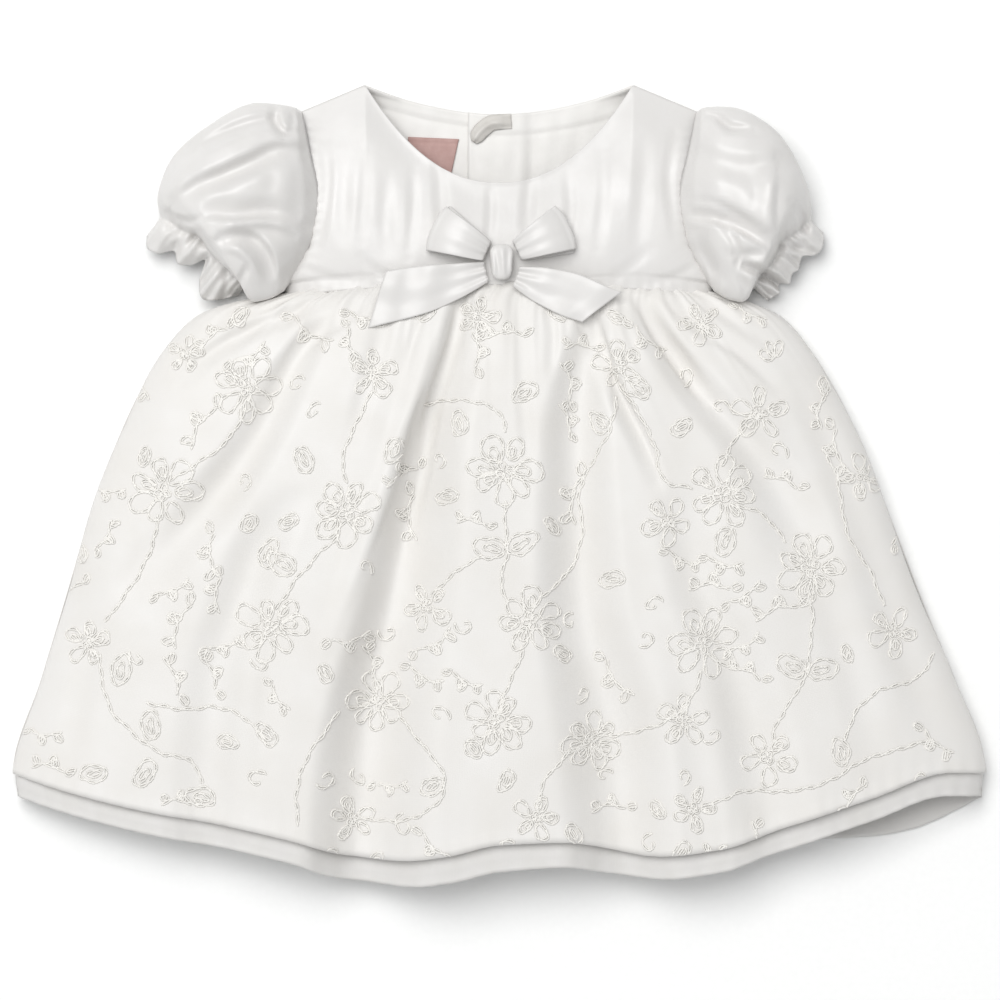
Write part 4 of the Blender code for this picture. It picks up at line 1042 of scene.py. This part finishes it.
@dataclass
class Sleeve:
    """A puff sleeve, gathered into the armhole and by elastic above its frill."""

    side: str
    elastic_at: float = 0.86
    cuff_gathers: int = 11
    armhole_gathers: int = 15
    frill_waves: int = 16
    tuck: float = 1.7
    tuck_reach: float = 0.03
    overhang: float = 5.2
    seam_dip: tuple[float, float, float] = (2.6, 0.4, 0.13)
    back_frill: float = 0.45
    shoulder_z: float = 8.2
    back_edge_z: float = 0.8

    def body(self, angle: Array, v: Array) -> tuple[Array, Array, Array]:
        """The puff's large form up to its elastic, before folds, on the side of positive X."""
        rings = [through(SLEEVE_RINGS[self.side], column, v) for column in range(1, 7)]
        share, lift = (1 - np.cos(angle)) / 2, np.sin(angle)
        upper = stacked(*rings[0:2])
        chord = stacked(*rings[2:4]) - upper
        across = direction(stacked(chord[..., 1], -chord[..., 0]))
        inset = rings[4] * np.maximum(lift, 0)
        plan = upper + chord * share[..., None] + across * inset[..., None]
        near = unit(1 - v / 0.3) ** 2.5
        x = mix(plan[..., 0], through(ARMHOLE, 1, share), near)
        y = mix(plan[..., 1], mix(SHOULDER_END[1], UNDERARM_Y, share), near)
        rounding = bell((lift - 0.35) / 0.3) * unit(v / 0.04) ** 0.5
        rounding = rounding * (1 - smooth((v - 0.45) / 0.4))
        y += self.overhang * rounding * (0.4 * smooth((0.2 - share) / 0.2) - smooth((share - 0.78) / 0.2))
        end_z = mix(self.shoulder_z, SIDE_SEAM_Z, share)
        over = end_z + (rings[5] - end_z) * np.maximum(lift, 0) ** 0.66
        under = end_z * (1 - np.maximum(-lift, 0) ** 0.6)
        return x, y, np.where(lift > 0, over, under)

    def surface(self, t: Array, v: Array) -> Array:
        """Outer surface: t from -1 to 1 runs once round the arm and v from the armhole out."""
        way = -1.0 if self.side == "left" else 1.0
        angle = (t + 1) * math.pi
        share, facing = (1 - np.cos(angle)) / 2, np.maximum(np.sin(angle), 0)
        x, y, z = self.body(angle, np.minimum(v, self.elastic_at))
        beyond = unit((v - self.elastic_at) / (1 - self.elastic_at))
        cuff = SLEEVE_RINGS[self.side][-1]
        out = np.array([cuff[2] - cuff[4], cuff[3] - cuff[1]])
        out = out / np.linalg.norm(out)
        length = through(FRILL_LENGTHS[self.side], 1, share)
        reach = length * beyond * np.where(np.sin(angle) > 0, 1.0, self.back_frill)
        depth, at, width = self.seam_dip
        dip = depth * bell((share - at) / width) * facing
        reach = reach - dip * smooth((v - 0.6) / 0.26)
        x, y = x + out[0] * reach, y + out[1] * reach
        edge = np.where(np.sin(angle) > 0, 5.0 + 6.0 * facing, self.back_edge_z)
        lobe = 0.55 * (length - 8.0) * np.sin(math.pi * 0.8 * beyond) * facing**0.5
        z = mix(z, edge, smooth(beyond)) + lobe
        tucked = unit(1 - v / self.tuck_reach)
        x, z = x - self.tuck * tucked, z - self.tuck * tucked
        creased = crease_depth(SLEEVE_CREASES[self.side], way * x, y)
        z -= creased * np.minimum(1, facing * 1.8) * smooth(v / 0.05)
        z += 0.6 * undulation(x, y, 19.0, 41) * facing * smooth(v / 0.1)
        armhole = np.cos(self.armhole_gathers * angle + 1.8 * np.sin(3 * angle))
        z += 0.9 * facing * (armhole * np.exp(-v / 0.08) * smooth(v / 0.02))
        pinch, wide = (bell((v - self.elastic_at) / width) for width in (0.035, 0.1))
        pleats = np.cos(self.cuff_gathers * 2 * angle + 1.6 * np.sin(5 * angle))
        z += facing * (1.1 * wide * pleats - 1.6 * pinch)
        frill = facing**0.6 * beyond
        z += 1.6 * frill * np.sin(self.frill_waves * angle + 1.4 * np.sin(3 * angle))
        return stacked(way * x, y, np.maximum(z, 0.0))

    def build(self) -> Piece:
        """Make the sleeve and tie it to the dress."""
        name = f"puff_sleeve_{self.side}"
        sheet = Sheet(name, self.surface, 176, 96, (210, 92), outward=Outward.ROUND, closed=True)
        return ride(sheet.build(SATIN), Slot.SATIN, f"sleeve_{self.side}")


def ribbon_tail(side: str, front: Surface) -> Form:
    """A ribbon end that lies from the knot down over the waist seam."""
    stations = {
        "left": ((6.0, 101.0, 5.0), (20.0, 96.6, 8.4), (38.0, 92.0, 11.4), (58.0, 88.0, 12.6)),
        "right": ((8.2, 98.6, 5.0), (20.0, 94.6, 8.6), (35.0, 89.4, 10.6), (49.0, 84.2, 9.6)),
    }[side]
    skew, way = {"left": (-0.14, -1.0), "right": (0.15, 1.0)}[side]
    first, last = stations[0], stations[-1]
    tilt = math.atan2(first[1] - last[1], last[0] - first[0])
    spots = np.linspace(first[0], last[0] + 8, 10)
    rests = front.highest(way * spots, through(stations, 1, spots), 11.0)
    bed = np.polyfit(spots, rests, 2)
    bed[-1] += (rests - np.polyval(bed, spots)).max() * 0.6

    def surface(t: Array, v: Array) -> Array:
        x = mix(first[0], last[0], v * (1 + skew * t))
        y = through(stations, 1, x)
        extra = np.maximum(x - last[0], 0)
        half = through(stations, 2, x)
        px = x + t * half * math.sin(tilt)
        py = y - extra * math.tan(tilt) + t * half * math.cos(tilt)
        fan = np.sin(t * 8 + 1) * np.exp(-v / 0.25) * 0.8
        curl = np.sin(math.pi * unit(v * 1.5 - 0.2)) * np.sin(2.2 * t + 0.8)
        crumple = 0.8 * undulation(way * px, py, 19.0, 51) * smooth(v / 0.3)
        lift = 1.6 + fan + 0.8 * curl + crumple - 0.8 * smooth((v - 0.8) / 0.2)
        return stacked(way * px, py, np.polyval(bed, px) + lift)

    return surface


def ribbon_loop(side: str, front: Surface) -> Form:
    """Half a bow: ribbon that runs out from the knot, turns and comes back over itself."""
    ends = {"left": ((-5.6, 110.6), (-31.8, 122.4)), "right": ((8.4, 111.0), (33.6, 123.0))}[side]
    start, end = np.array(ends[0]), np.array(ends[1])
    length = float(np.linalg.norm(end - start))
    along = (end - start) / length
    across = np.array([-along[1], along[0]])
    radius, knot_half, ribbon_half = 2.6, 4.8, 11.5
    run = length - radius
    total = 2 * run + math.pi * radius

    def surface(t: Array, v: Array) -> Array:
        path = v * total
        turn = np.clip((path - run) / radius, 0, math.pi)
        back = np.maximum(path - run - math.pi * radius, 0)
        reach = np.minimum(path, run) - back + radius * np.sin(turn)
        height = radius * (1 - np.cos(turn)) + 4.2 * np.sin(math.pi * unit(back / run)) ** 0.8
        share = unit(reach / length)
        half = mix(knot_half, ribbon_half, share**0.8)
        over = smooth((path - run) / radius)
        corner = 2.2 * np.abs(t) ** 3 * share**3
        below = 1.8 * (1 - over) * share
        plan = start + along * (reach - corner)[..., None] + across * (t * half - below)[..., None]
        crown = 1.2 * (1 - t * t) * over * share
        fan = 0.7 * np.sin(t * 8 + 0.6) * np.exp(-share / 0.35) * over
        base = start + along * np.clip(reach, 0, length)[..., None]
        rest = front.highest(base[..., 0], base[..., 1], 9.0)
        return np.concatenate([plan, (rest + 0.4 + height + crown + fan)[..., None]], axis=-1)

    return surface


@dataclass
class Bow:
    """The ribbon bow at the waist: two loops, two ends and the wrap over its middle."""

    front: Surface
    knot_centre: Plan = (1.2, 105.6)
    knot_size: tuple[float, float, float] = (12.0, 17.0, 8.5)
    ribbon: float = 24.0

    def knot(self) -> Piece:
        """The wrap round the middle: a soft square lump with two pressed pleats."""
        deselect()
        bpy.ops.mesh.primitive_uv_sphere_add(segments=64, ring_count=32, radius=1.0)
        made = bpy.context.object
        made.name = made.data.name = "bow_knot_wrap"
        p = points_of(made) * MM
        p = np.sign(p) * np.abs(p) ** 0.8
        pleats = 0.13 * np.sin(p[:, 0] * 7.5 + 0.8 + 0.7 * p[:, 1])
        pleats += 0.08 * np.sin(p[:, 0] * 3.0 + p[:, 1] * 2.4)
        p[:, 2] += pleats * (p[:, 2] > 0) * (1 - p[:, 1] ** 4).clip(0, 1)
        p[:, 0] *= 1 - 0.14 * np.cos(p[:, 1] * 2.2 + 0.6)
        x, y = self.knot_centre
        rest = self.front.highest(np.array([x]), np.array([y]), 8.0)[0]
        p = p * np.array(self.knot_size) / 2
        p += np.array([x, y, rest + SEAM_GAP + self.knot_size[2] / 2])
        made.data.vertices.foreach_set("co", (p * MM).ravel())
        made.data.update()
        made.data.uv_layers[0].name = "cloth"
        made.data.shade_smooth()
        made.data.materials.append(SATIN.material())
        return ride(made, Slot.SATIN, "bow_knot")

    def build(self) -> list[Piece]:
        """Make the bow's pieces and tie them to the dress."""
        made = [self.knot()]
        for side in ("left", "right"):
            tail = Sheet(f"ribbon_end_{side}", ribbon_tail(side, self.front), 28, 44, (self.ribbon, 56))
            loop = Sheet(f"ribbon_loop_{side}", ribbon_loop(side, self.front), 24, 72, (self.ribbon, 62))
            loop.outward = Outward.ROUND
            made.append(ride(tail.build(SATIN), Slot.SATIN, f"bow_tail_{side}"))
            made.append(ride(loop.build(SATIN), Slot.SATIN, f"bow_loop_{side}"))
        return made


def cord_lines(name: str, lines: list[Array], radius: float, finish: Plain) -> Piece:
    """Make thick lines through points as one mesh, with the beads of their twist.

    Args:
        name: The piece's name.
        lines: Point rows in mm.
        radius: Mean radius in mm.
        finish: Its finish.

    Returns:
        The mesh object, at the origin.
    """
    curve = bpy.data.curves.new(name, "CURVE")
    curve.dimensions = "3D"
    curve.bevel_depth = radius * MM
    curve.bevel_resolution = 0
    curve.use_fill_caps = True
    for number, line in enumerate(lines):
        spline = curve.splines.new("POLY")
        spline.points.add(len(line) - 1)
        co = np.ones((len(line), 4))
        co[:, :3] = line * MM
        spline.points.foreach_set("co", co.ravel())
        bead = 1 + 0.24 * np.cos(math.pi * np.arange(len(line)) + number)
        bead[[0, -1]] = 0.5
        spline.points.foreach_set("radius", bead)
    made = bpy.data.objects.new(name, curve)
    bpy.context.scene.collection.objects.link(made)
    select_only(made)
    bpy.ops.object.convert(target="MESH")
    made = bpy.context.object
    made.data.shade_smooth()
    made.data.materials.clear()
    made.data.materials.append(finish.material())
    return made


def turned(points: Array, angle: float, centre: Plan) -> Array:
    """Plan points turned by degrees and moved to a centre."""
    a = math.radians(angle)
    spin = np.array([[math.cos(a), -math.sin(a)], [math.sin(a), math.cos(a)]])
    return points @ spin.T + np.array(centre)


class Motif(Enum):
    """Kinds of embroidered motif."""

    BLOOM = "bloom"
    LEAVES = "leaves"
    LEAF = "leaf"
    BUD = "bud"
    CURL = "curl"
    TWIG = "twig"


def oval(length: float, width: float, angle: float, start: float, blunt: float) -> Array:
    """Outline of a petal or leaf that runs out from the middle along an angle.

    Args:
        length: Its length in mm.
        width: Its width in mm.
        angle: Its direction in degrees.
        start: Where it starts, in mm from the middle.
        blunt: How much wider its outer half is; below 0 the inner half is wider.

    Returns:
        Plan points round the outline.
    """
    a = np.linspace(0, math.tau, max(12, int(1.1 * (length + width))))
    along = start + length * (1 - np.cos(a)) / 2
    across = width / 2 * np.sin(a) * (1 - blunt * np.cos(a))
    return turned(stacked(along, across), angle, (0, 0))


# Petals of the plain motifs: length and width as shares of its size, angle, start in mm, blunt
PETALS = {
    Motif.LEAVES: tuple(row for a in (20, 160) for row in ((1, 0.6, a, 0.8, -0.1), (0.55, 0.2, a, 3, 0))),
    Motif.LEAF: ((1, 0.6, 90, 0.8, -0.1), (0.55, 0.2, 90, 3, 0)),
    Motif.BUD: tuple((1, 0.5, angle, 0.6, 0.2) for angle in (48, 90, 132)),
}


@dataclass(frozen=True)
class Stitched:
    """One motif on the skirt: its kind, plan centre, size and turn in degrees."""

    kind: Motif
    x: float
    y: float
    size: float
    turn: float = 0.0

    def bloom(self) -> list[Array]:
        """An open flower: uneven petals round a ring of small loops."""
        draw = np.random.default_rng(int(abs(self.x) * 7 + abs(self.y) * 13 + self.size))
        count = 7 if self.size > 9.5 else 5
        made = []
        for i in range(count):
            angle = 360 / count * i + draw.uniform(-9, 9)
            length = self.size * draw.uniform(0.78, 1.12)
            width = length * draw.uniform(0.56, 0.72)
            start = self.size * draw.uniform(0.3, 0.46)
            made.append(oval(length, width, angle, start, 0.3))
            if draw.uniform() < 0.6:
                made.append(oval(length * 0.5, width * 0.42, angle + draw.uniform(-8, 8), start + 1.2, 0.2))
        for i in range(4):
            made.append(oval(self.size * 0.3, self.size * 0.24, 90 * i + draw.uniform(-20, 20), 0.5, 0.1))
        return made

    def lines(self) -> list[Array]:
        """The motif's stitched lines in plan."""
        size = self.size
        made = self.bloom() if self.kind is Motif.BLOOM else []
        for length, width, angle, start, blunt in PETALS.get(self.kind, ()):
            made.append(oval(size * length, size * width, angle, start, blunt))
        if self.kind is Motif.CURL:
            a = np.linspace(0, 1.7 * math.pi, int(size * 3.2))
            r = size * (1 - 0.66 * a / a[-1]) / 2
            made.append(stacked(r * np.cos(a), 0.8 * r * np.sin(a)))
        if self.kind is Motif.TWIG:
            a = np.linspace(0, 1, int(size * 2.2))
            made.append(stacked(size * 1.8 * (a - 0.5), size * 0.28 * np.sin(math.pi * a)))
            for at, angle in ((-0.5, 130), (0.0, 60), (0.4, 115), (0.9, 20)):
                leaf = oval(size * 0.5, size * 0.26, angle, 0.6, 0.0)
                made.append(leaf + np.array([size * at, size * 0.26 * (1 - abs(at))]))
        return [turned(line, self.turn, (self.x, self.y)) for line in made]


# Motifs of each kind: plan X and Y, size and turn
FRONT_MOTIFS = {
    Motif.BLOOM: (
        (3, 6, 13, 8), (15, -65, 12, 30), (-72, -13, 12, 20), (-160, -4, 12.5, 0), (-108, -68, 12, 50),
        (106, -5, 13, 40), (148, -40, 12.5, 5), (97, -76, 12, 22), (80, -18, 9, 60), (124, 34, 9.5, 20),
        (-60, 53, 9, 15), (57, 56, 9, 30), (-120, 46, 11, 60), (-150, 62, 7, 10), (-1, -112, 11, 0),
        (44, -122, 10, 30), (88, -112, 9, 14), (128, -130, 9.5, 50), (18, -158, 8, 5), (92, -154, 8, 70),
        (-58, -104, 11, 10), (-34, -58, 9, 44), (-70, -160, 8, 25), (188, -70, 9, 64), (-196, -76, 8, 12),
        (174, 4, 8, 33), (-10, 80, 8, 0), (96, 76, 8, 40),
    ),
    Motif.LEAVES: ((3.5, -32, 15.5, 8), (146, -90, 15, -6)),
    Motif.LEAF: (
        (6, 40, 13, -60), (-18, 22, 12, 6), (-96, -42, 15, 60), (-112, -40, 14, -20), (-182, -96, 15, -16),
        (-165, -122, 14, 4), (-172, -144, 14, -30), (-186, -137, 13, 96), (-134, -150, 14, 80),
        (-106, -124, 12, 40), (110, -20, 14, 160), (72, 42, 14, 60), (92, 30, 11, 120), (164, -134, 13, 14),
        (-46, 22, 13, 150), (-95, 18, 13, 200), (52, 24, 12, 40), (60, -44, 12, 100), (-26, -140, 12, 120),
    ),
    Motif.TWIG: (
        (-88, 74, 12, 150), (-140, 26, 13, 60), (-134, -34, 12, 100), (164, 16, 12, 110), (38, -8, 13, 80),
        (-40, -16, 12, 95), (132, -62, 12, 20), (58, -92, 12, 130), (-150, -68, 12, 70),
        (210, -122, 10, 140),
    ),
    Motif.BUD: ((32, 78, 8, 20), (-38, 78, 8, -20), (132, 60, 8, 30)),
    Motif.CURL: ((-45, -162, 12, 90), (-115, -140, 11, 20), (-82, -140, 11, 200)),
}
FILLERS = (Motif.TWIG, Motif.LEAF, Motif.CURL, Motif.TWIG)
FRONT_VINES = (
    ((-36, 38), (-22, 40), (-8, 38), (1, 33), (3, 24)), ((3, -8), (3, -20), (4, -32), (1, -46), (4, -56)),
    ((12, -78), (6, -92), (0, -104)), ((-60, 44), (-68, 28), (-74, 12), (-72, 0)),
    ((-76, -24), (-88, -36), (-98, -48), (-106, -60)), ((-120, 36), (-130, 20), (-146, 8), (-156, 2)),
    ((-190, -81), (-189, -94), (-184, -108), (-172, -120), (-160, -128), (-147, -131), (-141, -142)),
    ((-168, -104), (-150, -107), (-136, -106), (-122, -110), (-110, -122)),
    ((-76, -108), (-86, -122), (-93, -134), (-96, -148), (-95, -162)),
    ((112, -10), (122, -13), (130, -19), (136, -28)),
    ((147, -51), (149, -62), (148, -74), (146, -90), (139, -102), (132, -114), (130, -124)),
    ((208, -80), (203, -89), (194, -95), (181, -98), (170, -108), (164, -122)),
    ((156, 14), (161, 4), (163, -8), (166, -24), (176, -40), (184, -58)),
    ((57, 48), (66, 34), (74, 18), (78, 2), (92, -2)), ((118, 28), (110, 18), (106, 8)),
    ((96, -88), (92, -100), (80, -112), (64, -118), (52, -120)), ((34, -126), (22, -140), (18, -152)),
    ((-48, -110), (-36, -124), (-26, -138), (-30, -152), (-46, -160), (-62, -160)),
    ((100, -152), (116, -146), (136, -146), (154, -142), (172, -132), (190, -126), (206, -122)),
    ((-162, -14), (-166, -32), (-176, -50), (-188, -66)), ((-30, -50), (-18, -40), (-8, -34)),
    ((20, -54), (34, -40), (40, -22), (38, -6), (44, 10), (52, 24), (56, 42)),
)


@dataclass
class Embroidery:
    """Raised cord embroidery on the lace, in common flower, leaf and vine motifs."""

    surface: Surface
    names: tuple[str, str] = ("cord_embroidery_left", "cord_embroidery_right")
    vines: tuple = FRONT_VINES
    filler_reach: tuple = ((-220, 221), (-172, 92))
    cord_radius: float = 0.43
    sunk: float = 0.14
    bead_step: float = 0.8
    twist: float = 0.58
    clear: float = 15.0
    steepest: float = 0.25
    pitch: float = 17.0

    def motifs(self) -> list[Stitched]:
        """The main motifs, then small twigs, leaves and curls in the gaps between them."""
        draw = np.random.default_rng(5)
        made = [Stitched(kind, *row) for kind, rows in FRONT_MOTIFS.items() for row in rows]
        taken = [(m.x, m.y) for m in made] + [spot for vine in self.vines for spot in vine]
        taken = np.array(taken, dtype=float)
        for x, y in product(*(np.arange(*reach, self.pitch) for reach in self.filler_reach)):
            spot = np.array([x, y]) + draw.uniform(-5, 5, 2)
            kind, size, turn = draw.integers(0, 4), draw.uniform(8, 11), draw.uniform(0, 360)
            if np.linalg.norm(taken - spot, axis=1).min() >= self.clear:
                taken = np.vstack([taken, spot])
                made.append(Stitched(FILLERS[kind], *spot, size, turn))
        return made

    def rope(self, line: Array) -> list[Array]:
        """The two runs of stitching that cross each other along a line."""
        line = self.even(line)
        way = np.gradient(line, axis=0)
        side = direction(stacked(-way[:, 1], way[:, 0]))
        sway = self.twist * np.sin(np.arange(len(line)) / 2.3)[:, None]
        return [line + side * sway, line - side * sway]

    def even(self, line: Array) -> Array:
        """The line with a point at every bead of the cord."""
        steps = np.linalg.norm(np.diff(line, axis=0), axis=1)
        far = np.concatenate([[0], np.cumsum(steps)])
        at = np.linspace(0, far[-1], max(3, int(far[-1] / self.bead_step)))
        return np.stack([np.interp(at, far, line[:, k]) for k in (0, 1)], -1)

    def laid(self, line: Array, number: int) -> list[Array]:
        """The line on the cloth, cut where it runs past an edge.

        Args:
            line: Plan points in mm.
            number: The line's number, which sets its wobble.

        Returns:
            The parts of the line that lie on the cloth, in mm.
        """
        wobble = 0.4 * stacked(np.sin(line[:, 1] / 1.9 + number), np.sin(line[:, 0] / 1.7 + 2 * number))
        runs, run = [], []
        for x, y in line + wobble:
            hit = self.surface.below(x, y)
            if hit and hit[1][2] > self.steepest:
                run.append(hit[0] + hit[1] * (self.cord_radius - self.sunk))
            elif run:
                runs.append(run)
                run = []
        runs.append(run)
        return [np.array(r) for r in runs if len(r) > 3]

    def build(self) -> list[Piece]:
        """Make the embroidery in two halves and tie them to the dress."""
        plans = [line for motif in self.motifs() for line in motif.lines()]
        plans += [smooth_line(vine, 1.0) for vine in self.vines]
        halves = [[], []]
        for number, plan in enumerate(plans):
            for line in self.rope(plan):
                halves[int(plan[:, 0].mean() > 0)] += self.laid(line, number)
        return [
            ride(cord_lines(name, lines, self.cord_radius, CORD), Slot.LACE)
            for name, lines in zip(self.names, halves)
        ]


# Button loop: v along it, x, y, half width
LOOP_STATIONS = (
    (0, 6, 174.6, 3.6), (0.35, -2.4, 174, 3.8), (0.68, -8.2, 170.4, 3.9), (1, -12.2, 164.6, 3.3),
)


@dataclass
class NeckTrim:
    """The label and the button loop at the back neck."""

    label_centre: Plan = (-32.0, 156.4)
    label_size: tuple[float, float] = (24.5, 20.5)
    label_turn: float = -2.5
    label_slant: float = 3.6
    label_z: float = 1.7
    loop_z: float = 3.5
    loop_crown: float = 1.7

    def label_form(self, t: Array, v: Array) -> Array:
        """The label's upper face, a little cupped between its stitches."""
        x = t * self.label_size[0] / 2 - self.label_slant * v * (1 + t) / 2
        y = (0.5 - v) * self.label_size[1]
        plan = turned(stacked(x, y), self.label_turn, self.label_centre)
        cup = 0.5 * (1 - t * t) * (1 - (2 * v - 1) ** 2)
        fold = 0.3 * bell((v - 0.12) / 0.03)
        return np.concatenate([plan, (self.label_z + 0.55 + cup - fold)[..., None]], axis=-1)

    def loop_form(self, t: Array, v: Array) -> Array:
        """The flat loop's upper face: sewn at the neck edge, it curls down over the placket's corner."""
        step = 1e-3
        x, y, half = (through(LOOP_STATIONS, column, v) for column in (1, 2, 3))
        v0, v1 = unit(v - step), unit(v + step)
        run_x, run_y = (through(LOOP_STATIONS, k, v1) - through(LOOP_STATIONS, k, v0) for k in (1, 2))
        far = np.hypot(run_x, run_y)
        half = half * (1 - unit((v - 0.84) / 0.16) ** 2 * 0.55)
        crown = self.loop_crown * (1 - t * t) * smooth((1 - v) / 0.12 + 0.25) * smooth(v / 0.3 + 0.1)
        pleat = 0.35 * np.sin(5 * t + 2.2 * v) * (1 - t * t)
        z = self.loop_z + 0.5 + crown + pleat
        return stacked(x - t * half * run_y / far, y + t * half * run_x / far, z)

    def build(self) -> list[Piece]:
        """Make the label and the loop and tie them to the dress."""
        label = Sheet("woven_neck_label", self.label_form, 40, 34, self.label_size, thickness=0.5)
        loop = Sheet("satin_button_loop", self.loop_form, 20, 44, (7.0, 23.0), thickness=0.5)
        return [
            ride(label.build(LABEL), Slot.LABEL, "neck_label"),
            # The loop's satin carries painted shade: it is coloured greyer and more beige than the bodice.
            ride(loop.build(LOOP_SATIN_PAINTED_SHADE), Slot.SATIN, "button_loop"),
        ]


@dataclass(frozen=True)
class SoftLight:
    """A square soft box: its place and what it points at in metres, its side and its power."""

    name: str
    place: tuple[float, float, float]
    aim: tuple[float, float, float]
    side: float
    watts: float

    def build(self) -> None:
        """Add the light."""
        data = bpy.data.lights.new(self.name, "AREA")
        data.shape = "SQUARE"
        data.size = self.side
        data.energy = self.watts
        made = bpy.data.objects.new(self.name, data)
        made.location = self.place
        way = Vector(self.aim) - Vector(self.place)
        made.rotation_euler = way.to_track_quat("-Z", "Y").to_euler()
        bpy.context.scene.collection.objects.link(made)


@dataclass
class Studio:
    """Pale floor, soft light from above and the top of the picture, and the camera."""

    camera_place: tuple[float, float, float] = (0.00048, -0.0076, 2.2)
    lens: float = 164.4
    sensor: float = 36.0
    floor_side: float = 8.0
    floor_z: float = -0.05
    world_strength: tuple[float, float] = (0.34, 0.78)
    lights: tuple = (
        SoftLight("overhead_soft_box", (-0.65, 1.05, 2.7), (0.0, 0.0, 0.0), 2.1, 69.0),
    )

    def build(self) -> None:
        """Add the floor, the lights, the world and the camera."""
        deselect()
        bpy.ops.mesh.primitive_grid_add(x_subdivisions=8, y_subdivisions=8, size=self.floor_side)
        floor = bpy.context.object
        floor.name = "studio_floor"
        p = points_of(floor)
        p[:, 2] = self.floor_z
        floor.data.vertices.foreach_set("co", (p * MM).ravel())
        floor.data.materials.append(PAPER.material())
        for light in self.lights:
            light.build()
        world = bpy.data.worlds.new("pale_studio")
        world.use_nodes = True
        tree = world.node_tree
        back = tree.nodes["Background"]
        back.inputs["Color"].default_value = srgb("F6F7F8")
        way = add_node(tree, "ShaderNodeTexCoord")
        axes = add_node(tree, "ShaderNodeSeparateXYZ", {}, {"Vector": way.outputs["Generated"]})
        low, high = self.world_strength
        ramp = {"From Min": -1.0, "From Max": 1.0, "To Min": high, "To Max": low}
        strength = add_node(tree, "ShaderNodeMapRange", ramp, {"Value": axes.outputs["Y"]})
        tree.links.new(strength.outputs["Result"], back.inputs["Strength"])
        scene = bpy.context.scene
        scene.world = world
        scene.view_settings.view_transform = "Standard"
        data = bpy.data.cameras.new("camera")
        data.lens, data.sensor_width = self.lens, self.sensor
        data.clip_start, data.clip_end = 0.1, 20.0
        camera = bpy.data.objects.new("camera", data)
        camera.location = self.camera_place
        scene.collection.objects.link(camera)
        scene.camera = camera


def main() -> None:
    """Build the dress's pieces in order, then the studio."""
    logging.basicConfig(level=logging.INFO, format="%(message)s")
    skirt = Skirt().build()
    bodice = Bodice().build()
    front = Surface([skirt["lace"], bodice["front"]])
    lace = Surface([skirt["lace"]])
    sleeves = {side: Sleeve(side).build() for side in ("left", "right")}
    bow = Bow(front).build()
    trim = NeckTrim().build()
    stitched = Embroidery(lace).build()
    Studio().build()


if __name__ == "__main__":
    main()
